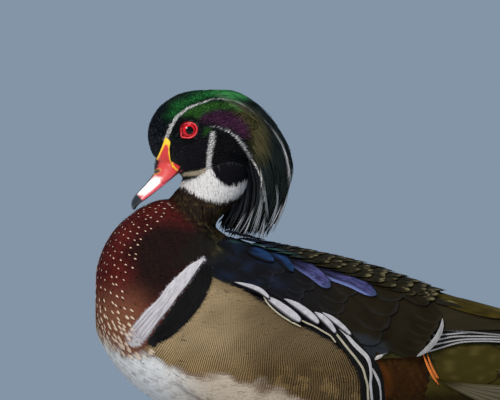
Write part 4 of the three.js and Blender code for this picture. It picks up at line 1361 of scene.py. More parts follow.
def flank_bands(p):
    """Places across the flank's fine dark lines, and how strong they are."""
    q = p[:, 1:]
    up = q[:, 1] - 62
    part = np.clip((q[:, 0] + 45) / 110, 0, 1)
    across = q[:, 0] - lerp(0.62 * up, -0.0172 * np.maximum(up, 0) ** 2, part)
    across = across + 0.7 * ripple(p, 18, 31) + 0.16 * ripple(p, 3.5, 34) * smooth(105, 75, q[:, 1])
    strength = (0.26 + 0.36 * smooth(25, 64, q[:, 0]) + 0.4 * smooth(108, 78, q[:, 1])) * flank_mask(p)
    return across, strength


def body_coat():
    roots, normals = scatter(BODY_SPACING, lambda p: body_zone(p) & ~under_wing(p))
    count = len(roots)
    front = smooth(-30, -70, roots[:, 1])
    lengths, halves, high = BODY_TUFTS
    length = lerp(*lengths, front) * varied(count, 0.15)
    half = lerp(*halves, front) * varied(count, 0.15)
    rise = high * varied(count, 0.05)
    lie = body_lie(roots, normals)
    lie = along_skin(unit(lie + random.normal(0, 0.06, lie.shape)), normals)
    left = roots[:, 0] > 0
    ahead = roots[:, 1] < -20
    groups = {
        "breast_feathers_left": left & ahead,
        "breast_feathers_right": ~left & ahead,
        "body_feathers_left": left & ~ahead,
        "body_feathers_right": ~left & ~ahead,
    }
    for name, own in groups.items():
        parts = tufts(
            roots[own], normals[own], lie[own], length[own], half[own], rise[own],
            all_colours, (BODY_CENTRE, BODY_SIZES), base=0.8, drift=0.2, thick=0.06,
        )
        across, strength = flank_bands(parts[0])
        make_coat(name, parts, body_feather, numbers={"Across": across, "Strength": strength})


# Pale tips on the breast, sparse above and larger below

SPOT_ZONE = from_photo([
    (88, 332), (91, 282), (99, 250), (117, 225), (139, 207), (160, 197), (178, 196), (169, 208), (154, 224),
    (145, 238), (136, 254), (129, 274), (127, 296), (132, 326), (148, 346), (120, 362), (98, 352),
])
SPOT_CENTRE = np.array([0, -35.0, 118])
SPOT_TILT = math.radians(33)
SPOT_STEP = (math.radians(4.5), math.radians(5.0))


def spot_places(shift):
    """Places in slanting rows over the breast, every other row shifted by half a step."""
    level, turn = np.meshgrid(np.arange(-18, 15) + shift, np.arange(-22, 23), indexing="ij")
    turn = (turn + 0.5 * ((level + shift) % 2)) * SPOT_STEP[1]
    level = level * SPOT_STEP[0]
    c, s = math.cos(SPOT_TILT), math.sin(SPOT_TILT)
    out = np.cos(level) * np.cos(turn)
    up = np.sin(level)
    way = np.stack([np.cos(level) * np.sin(turn), s * up - c * out, c * up + s * out], -1).reshape(-1, 3)
    way = unit(way + random.normal(0, 0.011, way.shape))
    found = [skin_tree.ray_cast(SPOT_CENTRE + 100 * d, -d) for d in way]
    places = np.array([hit[0] for hit in found if hit[0]])
    return places, np.array([hit[1] for hit in found if hit[0]])


def spots():
    def wanted(p):
        q = p[:, 1:]
        on_bar = stripe(q, WHITE_BAR, np.array(WHITE_BAR_HALVES) + 0.8, 0.5) * (np.abs(p[:, 0]) > 20) > 0.5
        return (patch_mask(q, SPOT_ZONE, 0.1) > 0.5) & body_zone(p) & ~on_bar & (side_of(q, BELLY_LINE) > 1)

    roots, normals = spot_places(0)
    more, more_normals = spot_places(0.5)
    low = more[:, 2] < 112 + random.normal(0, 4, len(more))
    roots, normals = np.vstack([roots, more[low]]), np.vstack([normals, more_normals[low]])
    kept = wanted(roots)
    roots, normals = roots[kept], normals[kept]
    count = len(roots)
    low = smooth(135, 95, roots[:, 2])
    lengths, halves, high = SPOT_TUFTS
    length = lerp(*lengths, low) * varied(count, 0.15)
    half = lerp(*halves, low**2) * varied(count, 0.25)
    rise = high * varied(count, 0.04)
    lie = body_lie(roots, normals)
    lie = along_skin(unit(lie + random.normal(0, 0.06, lie.shape)), normals)

    def colour_of(p, part):
        ground = all_colours(p)
        pale = lerp(np.array(SPOT_HIGH), np.array(SPOT_LOW), smooth(135, 95, p[:, 2])[:, None])
        tip = smooth(0.64, 0.655, part)[:, None]
        fading = lerp(1, 0.7, smooth(120, 95, p[:, 2]))[:, None]
        return ground + (pale - ground) * tip * fading

    parts = tufts(roots, normals, lie, length, half, rise, colour_of, (BODY_CENTRE, BODY_SIZES), SPOT_FORM,
                  base=1.05, drift=0.1, thick=0.08)
    zeros = np.zeros(len(parts[0]))
    numbers = {"Across": zeros, "Strength": zeros}
    make_coat("breast_spots", parts, body_feather, numbers=numbers)


# Long narrow feathers along the white and the black bar before the flank

def skin_side(side, y, z):
    """How far out the skin lies at places seen from the side."""
    places = zip(y.ravel().tolist(), z.ravel().tolist())
    found = [skin_tree.ray_cast((80 * side, a, b), (-side, 0, 0))[0] for a, b in places]
    return np.array([abs(hit[0]) if hit else 0 for hit in found]).reshape(y.shape)


BAR_PLUMES = 90


def bar_plumes(side, line, halves, own_half, rise, colour):
    path = spline(line[::-1])
    starts = random.uniform(-0.03, 0.66, BAR_PLUMES)
    ends = np.clip(starts + random.uniform(0.3, 0.5, BAR_PLUMES), 0, 1)
    ends = np.where(random.random(BAR_PLUMES) < 0.2, 1, ends)
    offset = random.permutation(np.linspace(-1, 1, BAR_PLUMES))
    drift = random.normal(0, 0.08, BAR_PLUMES)
    layer = random.uniform(0, 0.5, BAR_PLUMES)

    def surface(feather, t, v):
        s = lerp(starts[feather], ends[feather], t)[..., 0]
        middle = path(s)
        across = beside(middle)
        half = np.interp(s, np.linspace(0, 1, len(halves)), halves[::-1])
        reach = (offset[:, None] + drift[:, None] * t[..., 0]) * np.maximum(half - 0.6 * own_half, 0.2)
        yz = middle[:, :, None] + across[:, :, None] * (reach[..., None] + v * own_half)[..., None]
        y, z = yz[..., 0], yz[..., 1]
        x = skin_side(side, y, z) + lerp(rise - 1.0, rise, np.sqrt(t)) + layer[feather] - 0.3 * v**2
        return xyz(side * x, y, z)

    return vanes(surface, BAR_PLUMES, PLUME, 0.12, all_one(colour), rows=9, across=FIVE_ACROSS)


def side_bars(name, side):
    parts = [
        bar_plumes(side, BLACK_BAR, BLACK_BAR_HALVES, 1.1, 1.9, BAR_BLACK),
        bar_plumes(side, WHITE_BAR, WHITE_BAR_HALVES, 0.9, 2.1, BAR_WHITE),
    ]
    make_coat(f"side_bars_{name}", joined(parts), wing_feather)


# Crest

CREST_TIERS = (
    # count, start, end, half width, height at root and tip, reach round the crest
    (170, (0.26, 0.5), (0.84, 1.0), 1.3, (-4.5, -1.2), 2.9),
    (150, (0.1, 0.4), (0.72, 0.92), 1.3, (-3.2, -0.6), 2.5),
    (170, (0.0, 0.25), (0.42, 0.74), 1.2, (-2.2, -0.3), 2.2),
    (150, (-0.02, 0.12), (0.2, 0.45), 1.1, (-1.6, 0), 1.9),
)


def crest_colour(who, t, v, p):
    return head_colours(p)


def crest_coat():
    parts = []
    for count, start, end, half, heights, reach in CREST_TIERS:
        angle = reach * (2 * (np.arange(count) + random.random(count)) / count - 1)
        angle = random.permutation(angle)
        s0 = random.uniform(*start, count)
        s1 = random.uniform(*end, count)
        sway = random.normal(0, 0.06, count)
        layer = random.random(count)

        def surface(feather, t, v):
            s = lerp(s0[feather], s1[feather], t)
            width = np.maximum(crest_width(np.clip(s, 0, 1))[..., 0], 5)
            a = angle[feather] * (1 - 0.1 * t) + sway[feather] * t + v * half / width
            lift = lerp(heights[0], heights[1], t) - 1.6 * layer[feather] * t - 0.35 * np.abs(v)
            s, a, lift = np.broadcast_arrays(s, a, lift)
            return on_crest(np.clip(s, 0, 1), a, lift)

        parts.append(vanes(surface, count, PLUME, 0.25, crest_colour, rows=9, across=THREE_ACROSS))
    parts.append(nape_plumes())
    parts.append(pale_strands())
    make_coat("crest_plumes", joined(parts), plume_feather, ["crest"], crisp=False)


# Loose plumes that hang between the nape and the crest: the foremost and the hindmost.
NAPE_FIRST = [(236, 160), (236, 190), (230.5, 212), (225, 230)]
NAPE_LAST = [(252, 148), (263, 178), (263, 205), (250, 238)]
NAPE_COUNT = 150
NAPE_BLACK = (0.006, 0.0065, 0.009)


def nape_plumes():
    rank = random.permutation(np.linspace(0, 1, NAPE_COUNT))
    lines = lerp(np.array(NAPE_FIRST), np.array(NAPE_LAST), rank[:, None, None])
    lines[:, -1] += random.normal(0, 2.2, (NAPE_COUNT, 2))
    lines[:, -1, 1] -= 11 * random.random(NAPE_COUNT) ** 1.5
    paths = [spline(head_photo(line)) for line in lines]
    out = random.uniform(-1, 1, NAPE_COUNT)

    def surface(feather, t, v):
        middle = np.stack([path(t.ravel()) for path in paths])
        across = beside(middle)
        yz = middle[:, :, None] + across[:, :, None] * (v * 1.25)[..., None]
        x = out[feather] * lerp(6.5, 5.5, t) - 0.3 * np.abs(v) * np.sign(out[feather])
        return turned(xyz(x, yz[..., 0], yz[..., 1]))

    def colour_of(who, t, v, p):
        shade = 1 + 0.5 * np.sin(who * 5.1)
        return np.array(NAPE_BLACK) * shade[:, None]

    return vanes(surface, NAPE_COUNT, PLUME, 0.25, colour_of, rows=9, across=THREE_ACROSS)


# Pale strands of the crest: a line of the photograph, how many, and how far they stray.
PALE_STRANDS = (
    ([(263, 180), (266, 194), (268, 207), (269, 221)], 6, 0.7),
    ([(262, 188), (262.5, 204), (259.5, 220), (255, 237)], 8, 1.3),
    ([(277, 184), (279.5, 200), (277, 214), (270, 231)], 6, 1.1),
    ([(256, 206), (250, 224), (243, 239)], 6, 1.3),
    ([(284, 203), (278, 219), (270, 233)], 5, 1.3),
    ([(248, 212), (241, 226), (235, 238)], 5, 1.3),
    ([(267, 212), (265, 226), (262, 241)], 6, 1.6),
    ([(290, 190), (286, 206), (277, 226)], 3, 0.8),
)
STRAND_HALF = 0.26
PALE_STRAND = (0.3, 0.315, 0.34)


def crest_out(q):
    """How far out the crest's side lies at places in the head's middle plane, 0 beside the crest."""
    s = np.linspace(0, 1, 161)
    top, low = crest_top(s), crest_low(s)
    reach = low - top
    part = np.clip(((q[:, None] - top) * reach).sum(-1) / (reach**2).sum(-1), 0, 1)
    away = np.linalg.norm(q[:, None] - (top + part[..., None] * reach), axis=-1)
    best = away.argmin(1)
    each = np.arange(len(q))
    x = crest_width(s[best])[..., 0] * np.sin(np.arccos(1 - 2 * part[each, best]))
    return x * smooth(3, 1, away[each, best])


def pale_strands():
    paths = []
    for line, count, spread in PALE_STRANDS:
        middle = spline(head_photo(line))(np.linspace(0, 1, 6))
        for _ in range(count):
            stray = random.normal(0, spread, 2) * [1, 0.4]
            start = random.normal(0, 0.35, 2)
            paths.append(spline(middle + lerp(start, stray, np.linspace(0, 1, 6)[:, None])))
    total = len(paths)

    def surface(feather, t, v):
        middle = np.stack([path(t.ravel()) for path in paths + paths])
        across = beside(middle)
        yz = middle[:, :, None] + across[:, :, None] * (v * STRAND_HALF)[..., None]
        out = crest_out(yz.reshape(-1, 2)).reshape(yz.shape[:3])
        x = np.maximum(out, 6.6) + 0.5 + 0.12 * (feather % 5)
        return turned(xyz(np.where(feather < total, x, -x), yz[..., 0], yz[..., 1]))

    def colour_of(who, t, v, p):
        light = (0.35 + 0.65 * np.sin(who * 2.4) ** 2) * smooth(0, 0.4, t) * smooth(1.1, 0.7, t)
        return mix(all_over(CREST_GREEN, p), PALE_STRAND, light)

    return vanes(surface, 2 * total, PLUME, 0.12, colour_of, rows=12, across=THREE_ACROSS)


# Wings, flanks and tail

def spaced(line, count):
    return spline(line)(np.linspace(0, 1, count))


def carried(side, starts, ends, half, lift):
    """The surface of feathers on the carrier from starts to ends, each a y and an angle in degrees."""
    def surface(feather, t, v):
        y = lerp(starts[feather, 0], ends[feather, 0], t)
        row = carrier_slice(y)
        reach = half / np.hypot(row[..., 3] * 0.7, (row[..., 0] - row[..., 2]) * 0.7)
        angle = np.radians(lerp(starts[feather, 1], ends[feather, 1], t)) + v * reach
        y, angle, height = np.broadcast_arrays(y, angle, lift(feather, t, v))
        return on_carrier(y, angle, height, side)

    return surface


def side_place(slices, y, z, lift):
    """How far out a surface lies, raised by lift, at places seen from the side, and their z held on it."""
    top, bottom, wide, half = np.moveaxis(slices(y), -1, 0)
    height = np.maximum(np.where(z > wide, top - wide, wide - bottom) + lift, 0.5)
    part = np.clip((z - wide) / height, -0.985, 0.985)
    return np.maximum(half + lift, 0.2) * np.sqrt(1 - part**2), wide + part * height


def drawn(side, lines, halves, lift, shift, slices):
    """The surface of feathers whose middle lines are given by columns and rows of the photograph."""
    paths = [spline(from_photo(line)) for line in lines]
    halves = np.asarray(halves, float)

    def surface(feather, t, v):
        middle = np.stack([path(t.ravel()) for path in paths])
        across = beside(middle)
        reach = (v + shift) * halves[:, None, None]
        yz = middle[:, :, None] + across[:, :, None] * reach[..., None]
        x, z = side_place(slices or carrier_slice, yz[..., 0], yz[..., 1], lift(feather, t, v))
        return xyz(side * x, yz[..., 0], z)

    return surface


def strokes(side, lines, halves, lift, form, colour_of, thick=0.35,
            shift=0, slices=None, rows=14, across=ACROSS):
    """Feathers along middle lines given by columns and rows of the photograph."""
    surface = drawn(side, lines, halves, lift, shift, slices)
    return vanes(surface, len(lines), form, thick, colour_of, rows, across)


def between(first, last, count):
    """Middle lines of a row of feathers from its lowest to its highest, a little uneven."""
    first, last = np.array(first, float), np.array(last, float)
    part = np.linspace(0, 1, count)[:, None, None]
    return lerp(first, last, part) + random.normal(0, 0.35, (count, 1, 2))


def row(side, first, last, count, half, heights, form, colour_of,
        rows=14, across=ACROSS, uneven=1, slices=None):
    """A row of overlapping feathers: each lies on the upper edge of the one below it."""
    lines = between(first, last, count)
    lines[1:-1, -1] += uneven * random.uniform(-1, 1, (count - 2, 1)) * np.array([5.5, 2.2])
    tips = lines[:, -1] / PIXELS_PER_MM
    gap = np.hypot(*(tips[-1] - tips[0])) / max(count - 1, 1)
    slope = min(half / gap, 1) * 0.3

    def lift(feather, t, v):
        return lerp(*heights, np.sqrt(t)) - slope * v + 0.25 * (1 - v * v)

    return strokes(side, lines, [half] * count, lift, form, colour_of,
                   slices=slices, rows=rows, across=across)


WING_BLACK = (0.0045, 0.0046, 0.006)
WING_BROWN = (0.0095, 0.0072, 0.0034)
WING_SLATE = (0.016, 0.018, 0.022)
WING_PURPLE = (0.055, 0.055, 0.155)
WING_LILAC = (0.1, 0.13, 0.28)
WING_BLUE = (0.018, 0.05, 0.14)
WING_TEAL = (0.025, 0.06, 0.06)
SILVER = (0.27, 0.265, 0.27)
SCAPULAR_DARK = (0.01, 0.0085, 0.004)
SCAPULAR_TIP = (0.17, 0.14, 0.07)
RUMP_BRONZE = (0.03, 0.021, 0.003)
RUMP_GOLD = (0.06, 0.045, 0.01)
COVERT_RIM = (0.02, 0.022, 0.026)
BROWN_RIM = (0.028, 0.024, 0.016)
PRIMARY_DARK = (0.009, 0.008, 0.006)
TERTIAL_DARK = (0.011, 0.01, 0.006)
GOLD_EDGE = (0.17, 0.15, 0.05)
PURPLE_TIP = (0.03, 0.04, 0.09)
TERTIAL_BROWN = (0.017, 0.0135, 0.0065)
CRESCENT_WHITE = (0.24, 0.235, 0.235)
SLATE_PATCH = from_photo([(350, 331), (364, 334), (378, 340), (388, 346), (380, 354), (366, 352), (356, 342)])
TEAL_EDGE = from_photo([
    (230, 241), (254, 244), (276, 249.6), (297, 255.4), (313, 263), (335, 268.8), (357, 276), (380, 282),
])


def wing_colours(p):
    q = p[:, 1:]
    grain = ripple(p, 5, 12)
    colour = all_over(WING_BLACK, p)
    colour = mix(colour, WING_BROWN, smooth(20, 70, q[:, 0]))
    # Painted blue sheen over the dark wing, standing for the gloss's reflection.
    painted_sheen = smooth(0, 1, ripple(p, 9, 14)) * smooth(28, 8, q[:, 0]) * smooth(-24, -12, q[:, 0])
    colour = mix(colour, WING_BLUE, 0.1 * painted_sheen)
    colour = mix(colour, WING_SLATE, patch_mask(q, SLATE_PATCH, 2))
    colour = mix(colour, WING_TEAL, 0.8 * stripe(q, TEAL_EDGE, (0.3, 0.6, 0.7, 0.7, 0.6, 0.3), 0.5))
    return varied_by(colour, 0.2 * grain)


def back_colour(who, t, v, p):
    colour = wing_colours(p)
    tip = smooth(0.8, 0.93, t + 0.08 * ripple(p, 1.6, 15)) * smooth(1.0, 0.6, np.abs(v))
    olive = varied_by(all_over(SCAPULAR_DARK, p), 0.5 * ripple(p, 3, 16))
    olive = mix(olive, SCAPULAR_TIP, 0.75 * tip * smooth(-0.7, 0.5, ripple(p, 4, 33)))
    return mix(colour, olive, smooth(14, 40, p[:, 1]))


def rump_colour(who, t, v, p):
    colour = varied_by(all_over(RUMP_BRONZE, p), 0.4 * ripple(p, 3, 24))
    return mix(colour, RUMP_GOLD, smooth(0.2, 1, ripple(p, 6, 25)) * smooth(0.3, 0.8, t))


def tier(side, count, roots, tips, half, heights, colour_of):
    """A row of feathers over the back, between two lines of y and degrees round the carrier."""
    starts = spaced(roots, count)
    ends = spaced(tips, count) + np.column_stack([random.normal(0, 1.6, count), np.zeros(count)])

    def lift(feather, t, v):
        return lerp(*heights, np.sqrt(t)) - 0.35 * v + 0.4 * (1 - v * v) - 0.1 * (feather % 2)

    surface = carried(side, starts, ends, half, lift)
    return vanes(surface, count, ROUNDED, 0.3, colour_of, rows=9, across=FEW_ACROSS)


def rimmed(rim_colour):
    """Colours of wing feathers with a slightly paler rim."""
    def colour_of(who, t, v, p):
        rim = np.maximum(smooth(0.86, 0.98, np.abs(v)), smooth(0.95, 0.99, t))
        return mix(wing_colours(p), rim_colour, 0.3 * rim * smooth(0.4, 0.7, t))

    return colour_of


def primary_colour(who, t, v, p):
    colour = all_over(PRIMARY_DARK, p)
    silver = smooth(-0.7, -0.74, v) * (1 - 0.4 * smooth(0.1, -0.1, who - 0.5))
    return mix(colour, SILVER, silver)


def gold_edge_colour(who, t, v, p):
    colour = all_over(TERTIAL_DARK, p)
    gold = smooth(0.25, 0.5, v) * smooth(0.35, 0.6, t) + smooth(0.86, 0.95, t)
    streak = 0.7 + 0.3 * ripple(p, 1.5, 27)
    return mix(colour, GOLD_EDGE, np.clip(gold, 0, 1) * streak)


def purple_colour(who, t, v, p):
    streak = 0.5 + 0.5 * np.sin(v * 19 + 3 * ripple(p, 3, 28))
    purple = np.array(WING_PURPLE)
    colour = lerp(purple, purple * 0.3, streak[:, None]) * lerp(0.4, 1, smooth(0.3, 0.6, t))[:, None]
    colour = mix(colour, WING_LILAC, smooth(-0.62, -0.8, v) * np.where(who == 1, 0.9, 0.35))
    colour = mix(colour, WING_TEAL, smooth(0.8, 0.95, v))
    colour = mix(colour, PURPLE_TIP, smooth(0.86, 0.97, t))
    return mix(colour, WING_BLACK, np.maximum(smooth(0.35, 0.12, t), smooth(0.55, 0.85, v)))


def blue_colour(who, t, v, p):
    colour = varied_by(all_over(np.array(WING_BLUE) * 0.5, p), 0.4 * ripple(p, 2.5, 29))
    return mix(colour, WING_BLACK, np.maximum(smooth(-0.1, -0.8, v), smooth(0.45, 0.1, t)))


def all_one(colour):
    """One colour with a little unevenness."""
    def colour_of(who, t, v, p):
        return varied_by(all_over(colour, p), 0.12 * ripple(p, 2, 30))

    return colour_of


# Rows of the wing's feathers: middle lines of the lowest and the highest, how many, half width, heights.
WING_ROWS = (
    ([(196, 258), (214, 268), (236, 280)], [(232, 234), (248, 236), (268, 243)], 8, 4.4, (-1.2, 2.2)),
    ([(208, 262), (236, 275), (264, 290)], [(246, 236), (270, 243), (296, 256)], 8, 4.6, (0.6, 2.8)),
    ([(238, 270), (268, 280), (300, 301)], [(276, 244), (302, 252), (330, 268)], 8, 5.2, (0.6, 3)),
    ([(266, 280), (302, 292), (338, 321)], [(306, 252), (334, 262), (364, 282)], 5, 7.6, (0.6, 3)),
    ([(296, 286), (342, 308), (378, 341)], [(340, 264), (370, 274), (404, 295)], 4, 10, (0.6, 3)),
)
SECONDARY_ROW = (
    [(320, 306), (372, 330), (421, 351)],
    [(360, 280), (400, 294), (440.4, 319)],
    6, 6.6, (0.4, 2.3),
)
TERTIAL_LINES = (
    [(380, 322), (440, 320.5), (532, 326)],
    [(384, 312), (440, 311), (520, 320)],
    [(418, 293), (440, 301), (457, 304.6), (478.5, 315)],
    [(372, 284), (402, 289), (428, 303)],
)
SLATE_LINES = (
    [(326, 308), (346, 324), (362, 341), (372, 357)],
    [(346, 314), (364, 328), (378, 341), (389, 349)],
)
PRIMARY_EDGES = (
    [(432, 330), (446, 330), (475.6, 332.8), (510, 337), (545, 343)],
    [(432, 335), (446, 334.3), (470.3, 332.6), (500, 334.7), (532, 340), (555, 345)],
    [(428, 340.4), (441.2, 338.9), (456.5, 336.4), (500, 337.2), (535, 342), (562, 348)],
    [(424, 347), (438, 343.6), (464, 339.4), (500, 339.9), (538, 345), (566, 351)],
    [(418, 354), (427.4, 351.5), (441.2, 347.3), (456.5, 342.9), (471.8, 341.6), (500, 342.6), (535, 348),
     (560, 354)],
)
CRESCENT = [(441.4, 317.5), (440.4, 326), (436.6, 335), (430.8, 343), (424, 349.6), (415.6, 355.4)]
PURPLE_LINES = (
    [(284, 256), (303, 264.6), (317, 273.4), (329.5, 286.5)],
    [(308, 264), (332, 272.6), (354, 280.6), (375.5, 294)],
)
BLUE_LINES = ([(246, 249), (258, 252.6), (274, 260.6)], [(266, 251), (282, 257), (293, 271)])
OLIVE_LINE = [(376, 357), (388, 352), (408, 354.4)]
WHITE_MARKS = ([(373, 358.6), (377, 355.6), (382, 352.8)], [(381, 353.4), (385, 350.4), (389, 347.6)])


def raised(start, end, slope=0.25, bow=0.4):
    """Heights of feathers from their roots to their tips."""
    def lift(feather, t, v):
        return lerp(start, end, np.sqrt(t)) - slope * v + bow * (1 - v * v)

    return lift


def primary_lift(feather, t, v):
    return -0.4 - 0.6 * feather + 0.1 * v


def wing(name, side):
    parts = [
        strokes(side, PRIMARY_EDGES, [3.1] * 5, primary_lift, PRIMARY, primary_colour,
                shift=1, rows=26, across=EDGED_ACROSS),
    ]
    coverts = rimmed(COVERT_RIM)
    for first, last, count, half, heights in WING_ROWS:
        parts.append(row(side, first, last, count, half, heights, ROUNDED, coverts,
                         rows=12, across=FEW_ACROSS))
    parts.append(row(side, *SECONDARY_ROW, SECONDARY, rimmed(BROWN_RIM), across=FEW_ACROSS, uneven=0))
    tertials = TERTIAL_LINES
    parts += [
        strokes(side, tertials[:2], [5.2, 5.4], raised(0.3, 0.6), POINTED, all_one(TERTIAL_BROWN)),
        strokes(side, tertials[2:3], [1.7], raised(1.2, 1.6), POINTED, gold_edge_colour, rows=18),
        strokes(side, SLATE_LINES, [5.0, 5.6], raised(1.6, 1.4), ROUNDED, all_one(WING_SLATE)),
        strokes(side, tertials[3:], [4.4], raised(2.2, 3), ROUNDED, coverts),
        strokes(side, BLUE_LINES, [3.2, 3.6], raised(2.6, 3.5), LEAF, blue_colour, 0.3),
        strokes(side, PURPLE_LINES, [4.6, 4.6], raised(2.8, 3.6), ROUNDED, purple_colour, 0.3, rows=20),
        strokes(side, [CRESCENT], [1.65], raised(2.8, 2.8, 0, 0.2), LEAF, all_one(CRESCENT_WHITE), rows=22),
    ]
    make_coat(f"wing_vanes_{name}", joined(parts), wing_feather, [f"wing_{name}"])


SCAPULAR_ROWS = 15
SCAPULAR_START = -15
SCAPULAR_STEP = 7.6


def scapulars(name, side):
    parts = []
    for step in range(SCAPULAR_ROWS):
        near = SCAPULAR_START + SCAPULAR_STEP * step
        low = np.interp(near + 19, (-20, 0, 29, 59, 88, 110), (66, 78, 72, 62, 56, 52))
        high = 6.2 - 3.2 * smooth(40, 105, near)
        count = int(np.interp(low, (55, 80), (10, 4)))
        root = lerp(1.4, high - 2.6, smooth(-12, 14, near))
        roots = [[near, low], [near + 5, 88]]
        tips = [[near + 16, low], [near + 23, 88]]
        parts.append(tier(side, count, roots, tips, 3.1, (root, high), back_colour))
    parts.append(tier(side, 5, [[96, 58], [100, 88]], [[132, 62], [137, 88]], 5.2, (0.3, 1.2), rump_colour))
    parts.append(tier(side, 5, [[112, 56], [118, 88]], [[149, 58], [157, 88]], 5.4, (0.4, 2.4), rump_colour))
    make_coat(f"scapular_vanes_{name}", joined(parts), wing_feather, [f"scapulars_{name}"])


FLANK_BAR_WHITE = (0.33, 0.32, 0.34)
FLANK_BLACK = (0.006, 0.006, 0.006)
LINE_CREAM = (0.34, 0.31, 0.23)
BAND_WHITE = (0.36, 0.35, 0.36)
STRAND_OLIVE = (0.03, 0.026, 0.008)
MARK_WHITE = (0.4, 0.38, 0.36)
PLUME_ORANGE = (0.62, 0.17, 0.035)
# White bars with black rims along the flank's upper edge: middle line, half width.
FLANK_BARS = (
    ([(235, 281.4), (251, 286), (261, 290.6), (270, 298)], 2.0),
    ([(264, 295), (274, 301.4), (284.5, 309), (294, 316), (301, 320.6)], 3.4),
    ([(284, 298), (294, 303.4), (304, 310.4), (312, 316.8), (319, 323)], 2.9),
    ([(314, 311), (320.5, 316), (327, 322), (335.6, 333)], 2.6),
    ([(321.6, 311.4), (331, 317.6), (340, 324.8), (351, 334.6)], 2.1),
)
BLACK_GROUND = (
    [(318, 312), (332, 324), (343, 336), (353.6, 348.4), (362.4, 361), (366.6, 373), (368, 387),
     (369, 402), (368, 413)],
    [(362, 352), (371, 364), (376, 376.6), (378, 390), (378.6, 402), (378, 412)],
)
WHITE_BANDS = (
    [(338, 327.4), (346.3, 334.7), (352.6, 342.1), (358.9, 348.4), (365.3, 354.7), (368.4, 361),
     (369.5, 367.4), (370, 374), (369.5, 382), (370.4, 392), (371.4, 402), (371, 412)],
    [(370.6, 366), (374.7, 373.7), (377.9, 381), (379.5, 389.5), (380, 399), (379.4, 411)],
)
CREAM_LINES = (
    [(331, 327), (334.7, 331.6), (342.1, 341), (348, 348.4), (353, 354.4), (358, 361), (362.1, 367.6),
     (364.4, 376), (366.6, 384), (367, 392.5), (367.6, 403), (367, 412)],
    [(263, 295), (267, 301.4), (272, 307), (280, 313.8), (291, 320.6), (301, 325.6)],
    [(298, 317.6), (306, 321.6), (314, 325.2), (324, 331), (330, 334.8), (335, 341.4)],
)
ORANGE_LINES = (
    [(422, 353), (426, 363), (432, 375), (438, 384)],
    [(426, 353), (429.6, 363), (435, 374), (439, 380)],
)


def bar_colour(who, t, v, p):
    colour = varied_by(all_over(FLANK_BAR_WHITE, p), 0.12 * ripple(p, 1.4, 32))
    rim = np.maximum(smooth(-0.3, -0.38, v), smooth(0.8, 0.88, v))
    rim = np.maximum(rim, smooth(0.93, 0.96, t))
    return mix(colour, BLACK, rim)


def flank(name, side):
    lines = [line for line, _ in FLANK_BARS]
    halves = [half for _, half in FLANK_BARS]
    parts = [
        strokes(side, BLACK_GROUND, [5.0, 3.4], raised(3.6, 4.2, 0, 0.3), BAND, all_one(FLANK_BLACK),
                rows=26),
        strokes(side, lines, halves, raised(3.4, 5.0), LEAF, bar_colour, rows=20, across=BARRED_ACROSS),
        strokes(side, CREAM_LINES, [0.62, 0.42, 0.42], raised(4.9, 5.0, 0, 0.1), BAND, all_one(LINE_CREAM),
                0.3, rows=40, across=FEW_ACROSS),
        strokes(side, WHITE_BANDS, [1.25, 0.8], raised(4.6, 4.9, 0, 0.2), TAPERED, all_one(BAND_WHITE), 0.3,
                rows=40, across=FEW_ACROSS),
    ]
    make_coat(f"flank_vanes_{name}", joined(parts), wing_feather, [f"flank_{name}"])


def side_strands(name, side):
    """Small marks below the wing and the two orange plumes beside the tail."""
    marks = (
        ([OLIVE_LINE], [2.9], raised(-1, -0.6), STRAND_OLIVE, None),
        (WHITE_MARKS, [1.3, 1.0], raised(0.4, 0.6), MARK_WHITE, None),
        (ORANGE_LINES, [0.85, 0.7], raised(2.2, 2.6), PLUME_ORANGE, trunk_slice),
    )
    parts = [
        strokes(side, lines, halves, lift, LEAF, all_one(colour), 0.3, slices=slices, across=FEW_ACROSS)
        for lines, halves, lift, colour, slices in marks
    ]
    make_coat(f"side_strands_{name}", joined(parts), wing_feather)


TAIL_OLIVE = (0.024, 0.024, 0.009)
TAIL_RIM = (0.07, 0.062, 0.035)
TAIL_COVERT = (0.024, 0.02, 0.006)
UNDER_COVERT = (0.012, 0.008, 0.006)
OLIVE_LIGHT = (0.085, 0.068, 0.018)
OLIVE_DARK_AND_SHADE = (0.012, 0.009, 0.002)
PALE_SIDE = (0.12, 0.105, 0.07)


def fan(pairs, start, end, spread, half, form, height, step, colour_of, rows=16):
    """Pairs of feathers over the tail, each pair a step lower or higher than the one before."""
    place_of = []
    side_of_vane = []
    level = []
    reach = []
    for pair in range(pairs):
        for _, side in SIDES:
            place_of.append(spread * (pair + 0.35) / pairs)
            side_of_vane.append(side)
            level.append(height + step * (pair + (1 if pair > 0 or side < 0 else 0)))
            reach.append(end * (1 - 0.12 * (pair / pairs) ** 2) - 2 * random.random())
    place_of, side_of_vane, level, reach = map(np.array, (place_of, side_of_vane, level, reach))

    def surface(feather, t, v):
        along = lerp(start, reach[feather], t)
        width = lerp(*TAIL_HALF_WIDTHS, along / TAIL_LENGTH)
        across = side_of_vane[feather] * place_of[feather] * lerp(0.4, 1, t) + v * half / width
        along, across, lift = np.broadcast_arrays(along, across, level[feather] + 0.5 * (1 - v * v))
        return on_tail(along, across, lift)

    return vanes(surface, 2 * pairs, form, 0.4, colour_of, rows=rows)


def tail_colour(who, t, v, p):
    colour = varied_by(all_over(TAIL_OLIVE, p), 0.3 * ripple(p, 6, 21))
    return mix(colour, TAIL_RIM, 0.6 * smooth(0.75, 0.95, np.abs(v)))


def upper_colour(who, t, v, p):
    return varied_by(all_over(TAIL_COVERT, p), 0.4 * ripple(p, 4, 22))


def under_colour(who, t, v, p):
    return all_over(UNDER_COVERT, p)


